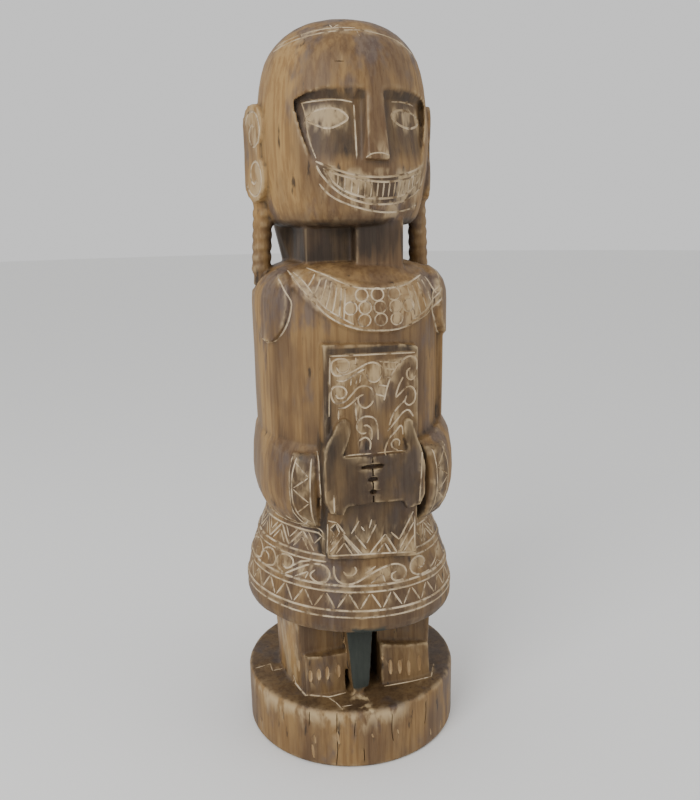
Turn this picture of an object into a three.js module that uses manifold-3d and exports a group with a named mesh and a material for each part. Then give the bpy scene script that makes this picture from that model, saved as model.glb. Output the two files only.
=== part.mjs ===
// A standing figure carved out of one section of tree trunk, a metre tall. From the floor up it has a
// drum base, block feet and legs, a flared skirt with carved bands, a squared trunk whose hands hold a
// tall board, a waisted neck between two ringed ear rods, double-scroll ears and a round head.
// Millimetres, +Z up. The figure looks along -Y, so +X is on its left-hand side.
import * as THREE from 'three';
import { mergeVertices } from 'three/addons/utils/BufferGeometryUtils.js';
import Module from 'manifold-3d';

// Driving dimensions
const HEIGHT = 1000;
const AROUND = 30;

const BASE_RADIUS = 157;
const BASE_TOP = 88;
const BASE_EDGE = 3;

const FOOT_TOP = 144;
const FOOT_FRONT = -101;
const LEG_FRONT = -80;
const LEG_TOP = 214;
const TOES = 5;

const HEM_RADIUS = 154;
const SKIRT_BOTTOM = 196;
const SKIRT_TOP = 380;
const SKIRT_SINK = 0.05;
const RING_HEIGHTS = [229, 266, 308];
const RING_HALF = 3.5;
const RING_RAISE = 2.2;
const LOW_TEETH = 22;
const HIGH_TEETH = 4;
const HIGH_TOOTH = 32;
const SCROLLS = 8;
// The upper bands are carved from the board round to the sides and not at the back
const CARVED_SIDE = 112;
const BOARD_ANGLE = 33;

const TRUNK_DEPTH = 0.93;
const SQUARENESS = 2.6;
const ARM_CREASE = 60;
const ARM_BACK = 118;
const ARM_LOW = 440;
const ARM_HIGH = 652;
const ARM_SWELL = { right: 3, left: 8 };
const ELBOW_RADIUS = { right: 132.5, left: 143 };
const ELBOW_LIFT = 26;
const BOSS_ANGLE = 64;
const BOSS_RAISE = 5;
const WRIST_ANGLE = 31;
const BRACELET_ANGLE = 45;
const BRACELET_RAISE = 3.5;

const COLLAR_LIFT = 4;
const STUD_LIFT = 3;
const STUD_RADIUS = 8.6;

const BOARD_LOW = 303;
const BOARD_HIGH = 596;
const BOARD_FRONT = -125;
const BOARD_LEAN = 15 / (BOARD_HIGH - BOARD_LOW);
const BOARD_BORDER = 9;
const HAND_RAISE = 9;
const FINGERS = 4;

const NECK_FOOT = 690;
const CHIN = 744;
const FLUTES = 6;
const ROD_LOW = 668;
const ROD_HIGH = 784;
const ROD_RADIUS = 13.5;
const ROD_RINGS = 7;
const ROD_PITCH = 14.5;
const ROD_GROOVE = 2.5;
const ROD_SIDES = 9;
const EAR_THICK = 22;

const HEAD_TURN = 7;
const BROW = 908;
const EYE_HEIGHT = 871;
const EYE_ANGLE = 32;
const NOSE_FOOT = 821;
const LIP_TOP = 812;
const TOOTH_COUNT = 15;

const CUT_WIDTH = 4;
const CUT_DEPTH = 2.6;
const FLATNESS = 0.12;

// Longer than the figure is wide or deep, for shapes that cut right through it
const FAR = 400;

// Profiles, as pairs of radius and height
const SKIRT_PROFILE = [
  [112, SKIRT_BOTTOM], [143, 200], [HEM_RADIUS - 1, 216], [HEM_RADIUS - 2, 225], [145.5, 266],
  [132.5, 308], [117, 345], [108, SKIRT_TOP],
];
const TRUNK_PROFILE = [
  [112, 340], [120, 400], [124, 470], [125, 600], [125, 640], [124, 655], [120, 668], [112, 679],
  [98, 689], [80, 695],
];
const HEAD_PROFILE = [
  [88, CHIN - 2], [98, CHIN + 4], [107, 770], [114, 812], [115.5, 850], [113.5, 880], [110.5, BROW],
  [106.5, 932], [99.5, 951], [90, 966], [77, 979], [58, 990], [35, 998],
];
const FOREARM_PROFILE = [[0.86, 345], [0.99, 370], [1.02, 405], [1, 438], [0.9, 457]];

const wasm = await Module();
wasm.setup();

// Joining and cutting

function solid(geometry) {
  const bare = geometry.clone();
  bare.deleteAttribute('normal');
  bare.deleteAttribute('uv');
  const merged = mergeVertices(bare, 1e-3);
  const points = merged.attributes.position.array;
  const corners = [];
  let volume = 0;
  const a = new THREE.Vector3();
  const b = new THREE.Vector3();
  const c = new THREE.Vector3();
  for (let i = 0; i < merged.index.count; i += 3) {
    const triangle = [0, 1, 2].map((k) => merged.index.getX(i + k));
    if (new Set(triangle).size < 3) continue;
    [a, b, c].forEach((corner, k) => corner.fromArray(points, 3 * triangle[k]));
    volume += a.dot(b.cross(c));
    corners.push(...triangle);
  }
  if (volume < 0) corners.reverse();
  const vertProperties = Float32Array.from(points);
  const triVerts = Uint32Array.from(corners);
  return new wasm.Manifold(new wasm.Mesh({ numProp: 3, vertProperties, triVerts }));
}

function join(solids) {
  return solids.reduce((whole, piece) => whole.add(piece));
}

// Shapes

function lerp(from, to, share) {
  return from + (to - from) * share;
}

function moved(geometry, change) {
  const position = geometry.attributes.position;
  const point = new THREE.Vector3();
  for (let i = 0; i < position.count; i += 1) {
    point.fromBufferAttribute(position, i);
    change(point);
    position.setXYZ(i, point.x, point.y, point.z);
  }
  return geometry;
}

// A turned body about the Z axis from a profile of [radius, height] pairs, closed on the axis
function turned(profile, sides = AROUND) {
  const closed = [[0, profile[0][1]], ...profile, [0, profile.at(-1)[1]]];
  const points = closed.map(([radius, height]) => new THREE.Vector2(radius, height));
  return new THREE.LatheGeometry(points, sides).rotateX(Math.PI / 2);
}

// An outline of [x, z] pairs seen from the front, cut through from front to back
function fretted(outline, front, back) {
  const shape = new THREE.Shape(outline.map(([x, z]) => new THREE.Vector2(x, z)));
  const options = { depth: back - front, bevelEnabled: false };
  return new THREE.ExtrudeGeometry(shape, options).rotateX(Math.PI / 2).translate(0, back, 0);
}

// A plan of [x, y] pairs carried straight up
function upright(plan, low, high) {
  const shape = new THREE.Shape(plan.map(([x, y]) => new THREE.Vector2(x, y)));
  const options = { depth: high - low, bevelEnabled: false };
  return new THREE.ExtrudeGeometry(shape, options).translate(0, 0, low);
}

// Angles go round from the front of the figure, positive towards +X
function around(degrees, radius) {
  const angle = THREE.MathUtils.degToRad(degrees);
  return [radius * Math.sin(angle), -radius * Math.cos(angle)];
}

function wedge(from, to, low, high) {
  const arc = [0, 0.25, 0.5, 0.75, 1].map((share) => around(lerp(from, to, share), FAR));
  return solid(upright([[0, 0], ...arc], low, high));
}

function radiusAt(profile, height) {
  const next = profile.findIndex(([, level]) => level >= height);
  if (next === 0) return profile[0][0];
  if (next < 0) return profile.at(-1)[0];
  const [[r0, z0], [r1, z1]] = [profile[next - 1], profile[next]];
  return lerp(r0, r1, (height - z0) / (z1 - z0));
}

// How much further out a squared trunk reaches at an angle than a round one
function squaring(x, y, depth = 1) {
  const reach = Math.hypot(x, y) || 1;
  const across = Math.abs(x / reach) ** SQUARENESS;
  const along = Math.abs(y / reach / depth) ** SQUARENESS;
  return (across + along) ** (-1 / SQUARENESS);
}

function squared(geometry, depth = 1) {
  return moved(geometry, (p) => {
    const more = squaring(p.x, p.y, depth);
    p.x *= more;
    p.y *= more;
  });
}

function swollen(profile, amount) {
  return profile.map(([radius, height]) => [radius + amount, height]);
}

// Carved lines. A skin gives the point and the way out of the wood for two surface coordinates.

function roundSkin(profile, turn = 0, sink = 0) {
  return (degrees, height) => {
    const radius = radiusAt(profile, height);
    const slope = (radiusAt(profile, height + 4) - radiusAt(profile, height - 4)) / 8;
    const [x, y] = around(degrees + turn, radius);
    const out = new THREE.Vector3(x / radius, y / radius, -slope).normalize();
    return { at: new THREE.Vector3(x, y, height - sink * x), out };
  };
}

function squareSkin(profile) {
  return (degrees, height) => {
    const [dx, dy] = around(degrees, 1);
    const radius = radiusAt(profile, height) * squaring(dx, dy);
    const at = new THREE.Vector3(dx * radius, dy * radius, height);
    return { at, out: new THREE.Vector3(dx, dy, 0) };
  };
}

// A V-shaped cut along a path of surface coordinates
function vCut(skin, path, width = CUT_WIDTH, depth = CUT_DEPTH) {
  const above = 2;
  const half = (width / 2) * ((depth + above) / depth);
  const stations = path.map(([u, v]) => skin(u, v));
  const corners = [];
  stations.forEach(({ at, out }, i) => {
    const before = stations[Math.max(i - 1, 0)].at;
    const after = stations[Math.min(i + 1, stations.length - 1)].at;
    const side = after.clone().sub(before).cross(out).setLength(half);
    const top = at.clone().addScaledVector(out, above);
    corners.push(top.clone().add(side), at.clone().addScaledVector(out, -depth), top.sub(side));
  });
  const faces = [0, 1, 2];
  for (let i = 0; i + 3 < corners.length; i += 3) {
    for (let k = 0; k < 3; k += 1) {
      const [a, b] = [i + k, i + ((k + 1) % 3)];
      faces.push(b, a, a + 3, b, a + 3, b + 3);
    }
  }
  const last = corners.length - 3;
  faces.push(last + 2, last + 1, last);
  const geometry = new THREE.BufferGeometry().setFromPoints(corners).setIndex(faces);
  return solid(geometry);
}

function carve(body, cuts) {
  return body.subtract(join(cuts));
}

// A curl that winds inwards from its rim, in surface coordinates with their own scales
function curl(centre, radius, from, turns, [across, up] = [1, 1], steps = 6) {
  return Array.from({ length: steps }, (_, i) => {
    const share = i / (steps - 1);
    const angle = THREE.MathUtils.degToRad(from + 360 * turns * share);
    const reach = radius * (1 - 0.72 * share);
    return [centre[0] + across * reach * Math.cos(angle), centre[1] + up * reach * Math.sin(angle)];
  });
}

// Base, feet and legs

function base() {
  const profile = [
    [BASE_RADIUS, 0], [BASE_RADIUS, BASE_TOP - BASE_EDGE], [BASE_RADIUS - BASE_EDGE, BASE_TOP],
  ];
  return solid(turned(profile, 44));
}

function legs() {
  const gapDepth = -30;
  const plan = [
    [-34, LEG_FRONT], [-98, LEG_FRONT], [-111, -45], [-116, 0], [-100, 60], [-60, 97], [-8, 107],
    [-4, 92], [6, 92], [10, 107], [62, 98], [106, 60], [123, 0], [116, -45], [101, LEG_FRONT],
    [19, LEG_FRONT], [19, gapDepth], [-34, gapDepth],
  ];
  const taper = 0.05;
  const column = moved(upright(plan, BASE_TOP - 4, LEG_TOP), (p) => {
    p.x *= 1 - taper * (1 - (p.z - BASE_TOP) / (LEG_TOP - BASE_TOP));
  });
  return solid(column);
}

// One foot: a block whose front leans back, with an almond cut for each toenail
function foot(inner, outer) {
  const heel = -20;
  const plan = [[inner, FOOT_FRONT], [outer * 0.985, FOOT_FRONT + 5], [outer * 1.04, heel], [inner, heel]];
  const lean = 9;
  const block = moved(upright(plan, BASE_TOP - 4, FOOT_TOP), (p) => {
    if (p.y < heel && p.z > BASE_TOP) p.y += lean;
  });
  const front = (x, z) => {
    const y = FOOT_FRONT + (lean * (z - BASE_TOP)) / (FOOT_TOP - BASE_TOP);
    return { at: new THREE.Vector3(x, y, z), out: new THREE.Vector3(0, -1, 0) };
  };
  const step = (outer - inner) / TOES;
  const nails = Array.from({ length: TOES }, (_, i) => {
    const x = inner + step * (i + 0.5);
    return vCut(front, [[x, 138], [x, 100]], 8, 5);
  });
  return carve(solid(block), nails);
}

function loincloth() {
  const outline = [[-35, 210], [10, 210], [-3, 101], [-9, BASE_TOP - 3], [-22, BASE_TOP - 3], [-28, 101]];
  const swing = 0.16;
  const cloth = moved(fretted(outline, -97, -26), (p) => {
    if (p.y < -60) p.y -= swing * (210 - p.z);
  });
  return solid(cloth);
}

// Skirt

// The skirt's profile with a raised ring in place of whatever it has at each of the ring heights
function ringedProfile() {
  const clearOfRings = ([, height]) => RING_HEIGHTS.every((middle) => Math.abs(height - middle) > 1);
  const profile = SKIRT_PROFILE.filter(clearOfRings);
  RING_HEIGHTS.forEach((middle) => {
    [[-1.3, 0], [-1, RING_RAISE], [1, RING_RAISE], [1.3, 0]].forEach(([share, raise]) => {
      const height = middle + share * RING_HALF;
      profile.push([radiusAt(SKIRT_PROFILE, height) + raise, height]);
    });
  });
  return profile.sort((a, b) => a[1] - b[1]);
}

function zigzag(skin, low, high, teeth, from, to) {
  const path = Array.from({ length: 2 * teeth }, (_, i) => {
    return [lerp(from, to, i / (2 * teeth)), i % 2 ? high : low];
  });
  return vCut(skin, path, CUT_WIDTH * 1.2);
}

function skirt() {
  const body = solid(moved(turned(ringedProfile()), (p) => {
    p.z -= SKIRT_SINK * p.x * THREE.MathUtils.clamp((370 - p.z) / 40, 0, 1);
  }));
  const skin = roundSkin(SKIRT_PROFILE, 0, SKIRT_SINK);
  const [hem, middle, top] = RING_HEIGHTS;
  const clear = RING_HALF + 3;
  const pointClear = clear + 2.5;
  const cuts = [
    zigzag(skin, hem + pointClear, middle - pointClear, LOW_TEETH, -180, 180),
    zigzag(skin, top + pointClear, top + HIGH_TOOTH, HIGH_TEETH, BOARD_ANGLE, CARVED_SIDE),
    zigzag(skin, top + pointClear, top + HIGH_TOOTH, HIGH_TEETH, -BOARD_ANGLE, -CARVED_SIDE),
  ];
  // Running scrolls between the two upper rings, turned about in pairs
  const bandMiddle = (middle + top) / 2;
  const bandHalf = (top - middle) / 2 - clear;
  const step = (2 * CARVED_SIDE) / SCROLLS;
  for (let i = 0; i < SCROLLS; i += 1) {
    const way = i % 2 ? 1 : -1;
    const scale = [way * THREE.MathUtils.radToDeg(1 / 139), 1];
    const centre = [(i + 0.5) * step - CARVED_SIDE, bandMiddle];
    const tail = [centre[0] - way * step * 0.45, bandMiddle - bandHalf];
    cuts.push(vCut(skin, [tail, ...curl(centre, bandHalf, 100, -0.85, scale)]));
  }
  return carve(body, cuts);
}

// Trunk, collar and arms

function trunkSolid(swell = 0) {
  return solid(squared(turned(swollen(TRUNK_PROFILE, swell)), TRUNK_DEPTH));
}

function neckline(x) {
  return 669 + 0.0035 * (x - 18) ** 2;
}

function collarEdge(x) {
  const share = THREE.MathUtils.clamp((x - 8) / 110, -1, 1);
  return 609 + 90 * (1 - Math.sqrt(1 - share ** 2)) - 0.09 * (x - 8);
}

// The y of the squared chest at a place across it
function chestFront(x, z) {
  const reach = radiusAt(TRUNK_PROFILE, z);
  const rest = Math.max(1 - Math.abs(x / reach) ** SQUARENESS, 0);
  return -TRUNK_DEPTH * reach * rest ** (1 / SQUARENESS);
}

function collar() {
  const lift = COLLAR_LIFT;
  const [left, right, steps] = [-92, 108, 9];
  const across = Array.from({ length: steps + 1 }, (_, i) => lerp(left, right, i / steps));
  const outline = [
    ...across.map((x) => [x, collarEdge(x)]),
    ...across.map((x) => [x, Math.max(neckline(x), collarEdge(x) + 6)]).reverse(),
  ];
  const band = solid(fretted(outline, -FAR, -20)).intersect(trunkSolid(lift));
  const skin = (x, z) => ({
    at: new THREE.Vector3(x, chestFront(x, z) - lift, z),
    out: new THREE.Vector3(x / 200, -1, 0.25).normalize(),
  });
  const rays = [-82, -71, -60, -49, -38, 58, 70, 82].map((x) => {
    const inward = lerp(x, 10, 0.28);
    const [low, high] = [collarEdge(x) + 5, neckline(inward) - 3];
    return vCut(skin, [0, 0.4, 0.75, 1].map((share) => [lerp(x, inward, share), lerp(low, high, share)]));
  });
  return carve(band, rays);
}

// Rows of round studs in the middle of the collar
function studs() {
  const rows = [[657, [-9, 12, 34]], [641, [-24, -5, 15, 36, 55]], [625, [-6, 16, 38]]];
  const discs = rows.flatMap(([z, places]) => places.map((x) => {
    const disc = new THREE.CylinderGeometry(STUD_RADIUS, STUD_RADIUS, 120, 7).translate(x, -80, z);
    return solid(disc);
  }));
  return join(discs).intersect(trunkSolid(COLLAR_LIFT + STUD_LIFT));
}

// One arm, right is -1 and left is +1: swollen upper arm, shoulder boss, forearm and bracelet
function arm(side) {
  const name = side < 0 ? 'right' : 'left';
  const sector = (from, to, low, high) => {
    const [a, b] = side < 0 ? [-to, -from] : [from, to];
    return wedge(a, b, low, high);
  };
  const swell = ARM_SWELL[name];
  const upper = trunkSolid(swell).intersect(sector(ARM_CREASE, ARM_BACK, ARM_LOW, ARM_HIGH));

  const bossOutline = [
    [0, 596], [22, 606], [36, 626], [40, 650], [32, 672], [14, 684], [-14, 684], [-32, 672], [-40, 650],
    [-36, 626], [-22, 606],
  ];
  const bossTurn = THREE.MathUtils.degToRad(side * BOSS_ANGLE);
  const bossBlock = fretted(bossOutline, -FAR, -60).rotateZ(bossTurn);
  const boss = solid(bossBlock).intersect(trunkSolid(swell + BOSS_RAISE));

  const elbow = ELBOW_RADIUS[name];
  const forearmProfile = FOREARM_PROFILE.map(([share, z]) => [share * elbow, z]);
  // The top of the forearm climbs from the wrist to the elbow
  const lifted = (p) => {
    const angle = THREE.MathUtils.radToDeg(Math.abs(Math.atan2(p.x, -p.y)));
    const share = THREE.MathUtils.smoothstep(angle, WRIST_ANGLE, 80);
    p.z += ELBOW_LIFT * share * THREE.MathUtils.clamp((p.z - 405) / 50, 0, 1);
  };
  const forearmSolid = (more) => solid(moved(squared(turned(swollen(forearmProfile, more))), lifted));
  const forearm = forearmSolid(0).intersect(sector(WRIST_ANGLE, ARM_BACK - 2, 340, 500));
  const bracelet = forearmSolid(BRACELET_RAISE)
    .intersect(sector(WRIST_ANGLE + 1, BRACELET_ANGLE, 342, 498));
  const skin = squareSkin(swollen(forearmProfile, BRACELET_RAISE));
  const bends = 7;
  const zig = Array.from({ length: bends }, (_, i) => {
    const angle = i % 2 ? BRACELET_ANGLE - 2 : WRIST_ANGLE + 5;
    return [side * angle, lerp(366, 450, i / (bends - 1))];
  });
  return join([upper, boss, forearm, bracelet.subtract(vCut(skin, zig))]);
}

function trunk() {
  return join([trunkSolid(), collar(), studs(), arm(-1), arm(1)]);
}

// Board and hands

function leanOut(p) {
  p.y -= BOARD_LEAN * (BOARD_HIGH - p.z);
}

function boardSkin(x, z) {
  const at = new THREE.Vector3(x, BOARD_FRONT, z);
  leanOut(at);
  return { at, out: new THREE.Vector3(0, -1, -BOARD_LEAN).normalize() };
}

function board() {
  const outline = [[-66, BOARD_LOW + 8], [58, BOARD_LOW], [65, BOARD_HIGH - 5], [-62, BOARD_HIGH]];
  const back = -60;
  const slab = fretted(outline, BOARD_FRONT, back);
  moved(slab, (p) => {
    const front = p.y < (BOARD_FRONT + back) / 2;
    if (!front) p.x *= 1.06;
    leanOut(p);
  });
  const [left, right] = [-62 + BOARD_BORDER, 65 - BOARD_BORDER / 2];
  const [low, high] = [BOARD_LOW + BOARD_BORDER, BOARD_HIGH - 14];
  const borderCut = (path) => vCut(boardSkin, path, 7, 3);
  const frame = [
    borderCut([[left - 4, low + 2], [left, high]]),
    borderCut([[left, high], [right, high - 1]]),
    borderCut([[left - 2, low + 1], [right - 6, low - 2]]),
  ];
  // S-scrolls down the left of the upper field
  const scrolls = [[-41, 569, 1], [-45, 534, 0.95]].flatMap(([x, z, scale]) => {
    const eye = curl([x, z], 10 * scale, -60, 0.9).reverse();
    const reach = 47 * scale;
    const far = curl([x + reach, z - 10], 12 * scale, 150, -0.85);
    return [vCut(boardSkin, [...eye, [x + 0.45 * reach, z - 9], ...far])];
  });
  // Hooked scrolls down the right, each on a slanting stem
  const hooks = [[56, 558, 12], [52, 524, 10], [48, 494, 9]].map(([x, z, size]) => {
    const stem = [[x - 36, z - 44], [x - 24, z - 8]];
    return vCut(boardSkin, [...stem, ...curl([x, z], size, 150, -0.95)]);
  });
  const lowHook = vCut(boardSkin, [[7, 469], ...curl([-8, 488], 13, 0, 0.8)]);
  // Nested points along the foot of the board
  const points = [[-44, 15, 21], [-44, 8, 11], [14, 20, 28], [14, 10, 14]].map(([x, half, tall]) => {
    const foot = low + 4;
    return vCut(boardSkin, [[x - half, foot], [x, foot + tall], [x + half, foot]]);
  });
  return carve(solid(slab), [...frame, ...scrolls, ...hooks, lowHook, ...points]);
}

// One hand laid on the board: thumb up, four tapering fingers pointing to the middle
function hand(side) {
  const thumb = side < 0
    ? [[-66, 466], [-56, 481], [-48, 497], [-38, 502], [-30, 492], [-36, 468], [-42, 454]]
    : [[64, 460], [57, 477], [53, 493], [47, 497], [40, 490], [42, 470], [46, 454]];
  const [palmEdge, tip, fingersTop, fingersLow] = [side * 38, side * 1.5 - 3, 452, 384];
  const step = (fingersTop - fingersLow) / FINGERS;
  const fingers = Array.from({ length: FINGERS }, (_, i) => {
    const top = fingersTop - i * step;
    return [
      [palmEdge, top], [tip, top - 0.32 * step], [tip, top - 0.72 * step], [palmEdge, top - 0.9 * step],
    ];
  }).flat();
  const outline = [...thumb, ...fingers, [side * 44, 372], [side * 66, 376], [side * 69, 400]];
  return solid(moved(fretted(outline, BOARD_FRONT - HAND_RAISE, -90), leanOut));
}

// Neck, fluted block and ear rods

function neck() {
  const plan = [
    [-68, -62], [60, -62], [66, 15], [76, 38], [62, 78], [0, 92], [-62, 78], [-76, 38], [-70, 15],
  ];
  const flare = 0.2;
  const column = moved(upright(plan, NECK_FOOT - 6, CHIN + 8), (p) => {
    if (p.y > 30 && p.z > CHIN) p.x *= 1 + flare;
  });
  // The block stands in front of the column and is fluted up its face
  const [left, right, front] = [-6, 58, -88];
  const block = upright(
    [[left, -50], [left, front + 3], [right, front], [right, -50]],
    NECK_FOOT - 2,
    CHIN + 6,
  );
  const step = (right - left) / (FLUTES + 1);
  const face = (x, z) => ({ at: new THREE.Vector3(x, front + 1, z), out: new THREE.Vector3(0, -1, 0) });
  const flutes = Array.from({ length: FLUTES }, (_, i) => {
    const x = left + step * (i + 1);
    return vCut(face, [[x, 694], [x, CHIN + 4]], 4.5, 3.5);
  });
  return solid(column).add(carve(solid(block), flutes));
}

// A rod of rings one above another, that stands on the shoulder and carries the ear
function earRod(side) {
  const waist = ROD_RADIUS - ROD_GROOVE;
  const profile = [[waist, ROD_LOW]];
  for (let i = 0; i < ROD_RINGS; i += 1) {
    const z = ROD_HIGH - 3 - (ROD_RINGS - i) * ROD_PITCH;
    profile.push([waist, z], [ROD_RADIUS, z + 3.5], [ROD_RADIUS, z + ROD_PITCH - 3.5]);
  }
  profile.push([waist, ROD_HIGH]);
  const rod = moved(turned(profile, ROD_SIDES), (p) => {
    const share = (ROD_HIGH - p.z) / (ROD_HIGH - ROD_LOW);
    p.x += side * lerp(109, 115, share);
    p.y += lerp(6, 12, share);
  });
  return solid(rod);
}

// Ear: a thick plate of two round lobes, each with a scroll, standing off the side of the head

function ear(side) {
  const lobe = (centre, radius, from, to) => [0, 0.25, 0.5, 0.75, 1].map((share) => {
    const angle = THREE.MathUtils.degToRad(lerp(from, to, share));
    return [centre[0] + radius * Math.cos(angle), centre[1] + radius * Math.sin(angle)];
  });
  const outline = [
    [57, 838], ...lobe([31, 868], 29.5, 20, 240), ...lobe([31, 805], 31, 120, 340),
  ];
  const shape = new THREE.Shape(outline.map(([u, z]) => new THREE.Vector2(u, z)));
  const plate = new THREE.ExtrudeGeometry(shape, { depth: EAR_THICK, bevelEnabled: false });
  // Along the head from front to back, and out from the head
  const along = new THREE.Vector3(side * 0.266, 0.964, 0);
  const out = new THREE.Vector3(side * 0.964, -0.266, 0);
  const front = new THREE.Vector3(side * 115, -35, 0);
  const place = (u, z, depth) => front.clone().addScaledVector(along, u)
    .addScaledVector(out, -depth).setZ(z);
  moved(plate, (p) => p.copy(place(p.x, p.y, p.z)));
  const skin = (u, z) => ({ at: place(u, z, 0), out });
  const curls = [
    vCut(skin, [[52, 862], ...curl([27, 862], 17, 80, -1, [-1, 1], 8)], 5, 3.2),
    vCut(skin, [[54, 797], [38, 785], ...curl([26, 806], 17, -100, 1, [-1, 1], 8)], 5, 3.2),
  ];
  return carve(solid(plate), curls);
}

// Head and face

const onHead = roundSkin(HEAD_PROFILE, HEAD_TURN);

function faceTurned(geometry) {
  return geometry.rotateZ(THREE.MathUtils.degToRad(HEAD_TURN));
}

// The face is cut back under the brow and comes out level with the head above the mouth
const FACE_PROFILE = [
  [radiusAt(HEAD_PROFILE, LIP_TOP) + 0.4, LIP_TOP], [108.5, 850], [103, 892],
  [radiusAt(HEAD_PROFILE, BROW) + 0.4, BROW],
];

function faceCut() {
  const half = [[24, BROW - 0.5], [58, 906], [78, 901], [90, 892], [84, 855], [74, LIP_TOP + 0.5]];
  const outline = [...half, ...half.map(([x, z]) => [-x, z]).reverse()];
  const window = solid(faceTurned(fretted(outline, -FAR, -20)));
  return window.subtract(solid(turned(FACE_PROFILE)));
}

function nose() {
  const top = BROW + 8;
  const [foot, front, back] = [20, -123, -90];
  const plan = [[-foot, back], [-foot, -106], [-15, front], [15, front], [foot, -106], [foot, back]];
  return solid(faceTurned(moved(upright(plan, NOSE_FOOT, top), (p) => {
    const share = (p.z - NOSE_FOOT) / (top - NOSE_FOOT);
    p.x *= 1 - 0.3 * share;
    if (p.y < -100) p.y += 14 * share;
  })));
}

function eye(side) {
  const [halfAngle, halfHeight, steps] = [15, 12, 10];
  const skin = roundSkin(FACE_PROFILE, HEAD_TURN);
  const path = Array.from({ length: steps + 1 }, (_, i) => {
    const turn = (2 * Math.PI * i * 0.985) / steps;
    const up = Math.sign(Math.sin(turn)) * Math.abs(Math.sin(turn)) ** 1.3;
    return [side * EYE_ANGLE + halfAngle * Math.cos(turn), EYE_HEIGHT + halfHeight * up];
  });
  return vCut(skin, path);
}

function mouth() {
  const middle = 3;
  const sweep = (from, to, height, steps = 7) => Array.from({ length: steps }, (_, i) => {
    const angle = lerp(from, to, i / (steps - 1));
    return [angle, height(angle)];
  });
  const lipTop = (angle) => 801 + 0.0098 * (angle - middle) ** 2;
  const gumTop = (angle) => 795 + 0.01 * (angle - 5) ** 2;
  const gumLow = (angle) => 775 + 36 * (Math.abs(angle - middle) / 39) ** 2.5;
  const lipLow = (angle) => 767 + 52 * (Math.abs(angle - middle) / 43) ** 2.9;
  const jawLine = (angle) => 758 + 38 * (Math.abs(angle - middle - 8) / 46) ** 2.2;
  const lines = [
    sweep(-39, 46, lipTop), sweep(-34, 43, gumTop), sweep(-34.5, 41, gumLow), sweep(-39, 46, lipLow),
    sweep(-35, 40, jawLine),
  ];
  const teeth = Array.from({ length: TOOTH_COUNT - 1 }, (_, i) => {
    const angle = lerp(-32, 40, (i + 1) / TOOTH_COUNT);
    return [[angle, gumLow(angle) + 1], [angle, gumTop(angle) - 1]];
  });
  return [...lines.map((path) => vCut(onHead, path)), ...teeth.map((path) => vCut(onHead, path, 3, 2))];
}

// The line round the crown, high over the brow and lower towards the ears
function crownLine() {
  const [from, to, steps] = [-95, 80, 10];
  return Array.from({ length: steps + 1 }, (_, i) => {
    const angle = lerp(from, to, i / steps);
    return [angle, 974 - 20 * (Math.abs(angle + 5) / 85) ** 1.6];
  });
}

function head() {
  const ball = solid(turned([...HEAD_PROFILE, [8, HEIGHT]]));
  const shaped = ball.subtract(faceCut()).add(nose());
  return carve(shaped, [eye(-1), eye(1), ...mouth(), vCut(onHead, crownLine())]);
}

// The whole figure

const figure = join([
  base(), legs(), foot(-33, -94), foot(20, 98), loincloth(), skirt(), trunk(), board(), hand(-1), hand(1),
  neck(), earRod(-1), earRod(1), ear(-1), ear(1), head(),
]);

// The body's surface without the vertices that lie in the flat, or on a straight edge, of the faces
// around them. Each is drawn into a neighbour that is less than FLATNESS out of those faces.
function plainSurface(body) {
  const mesh = body.getMesh();
  const points = [];
  const triangles = [];
  for (let i = 0; i < mesh.vertProperties.length; i += 3) {
    points.push(new THREE.Vector3().fromArray(mesh.vertProperties, i));
  }
  for (let i = 0; i < mesh.triVerts.length; i += 3) triangles.push([...mesh.triVerts.slice(i, i + 3)]);
  const facesAt = points.map(() => new Set());
  triangles.forEach((triangle, i) => triangle.forEach((v) => facesAt[v].add(i)));

  const facing = ([a, b, c]) => b.clone().sub(a).cross(c.clone().sub(a));
  const ring = (v) => new Set([...facesAt[v]].flatMap((i) => triangles[i]).filter((w) => w !== v));
  const fits = (gone, kept) => [...facesAt[gone]].every((i) => {
    const triangle = triangles[i];
    const before = facing(triangle.map((v) => points[v]));
    const area = before.length();
    const shift = points[kept].clone().sub(points[gone]);
    if (area > 1e-6 && Math.abs(before.dot(shift)) > FLATNESS * area) return false;
    if (triangle.includes(kept)) return true;
    const after = facing(triangle.map((v) => points[v === gone ? kept : v]));
    return after.dot(before) > 0.3 * after.length() * area && after.length() > 1e-4;
  });
  const draw = (gone, kept) => {
    [...facesAt[gone]].forEach((i) => {
      const triangle = triangles[i];
      if (triangle.includes(kept)) triangle.forEach((v) => facesAt[v].delete(i));
      else {
        triangle[triangle.indexOf(gone)] = kept;
        facesAt[kept].add(i);
      }
    });
    facesAt[gone].clear();
  };

  let changed = true;
  while (changed) {
    changed = false;
    for (let gone = 0; gone < points.length; gone += 1) {
      if (facesAt[gone].size === 0) continue;
      const near = ring(gone);
      const nearest = [...near].sort((a, b) => {
        return points[gone].distanceTo(points[a]) - points[gone].distanceTo(points[b]);
      });
      const kept = nearest.find((v) => {
        const shared = [...ring(v)].filter((w) => near.has(w)).length;
        return shared === 2 && fits(gone, v);
      });
      if (kept !== undefined) {
        draw(gone, kept);
        changed = true;
      }
    }
  }

  const left = new Set(facesAt.flatMap((faces) => [...faces]));
  const index = [...left].flatMap((i) => triangles[i]);
  const geometry = new THREE.BufferGeometry().setFromPoints(points).setIndex(index);
  return mergeVertices(geometry, 1e-4);
}

const stainedWood = new THREE.MeshStandardMaterial({ color: 0x6b5236, roughness: 0.62, metalness: 0 });
const surface = plainSurface(figure);
surface.computeVertexNormals();
const carving = new THREE.Mesh(surface, stainedWood);
carving.name = 'carved_figure';

const part = new THREE.Group();
part.name = 'carved_tribal_figure';
part.add(carving);

export default part;
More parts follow.
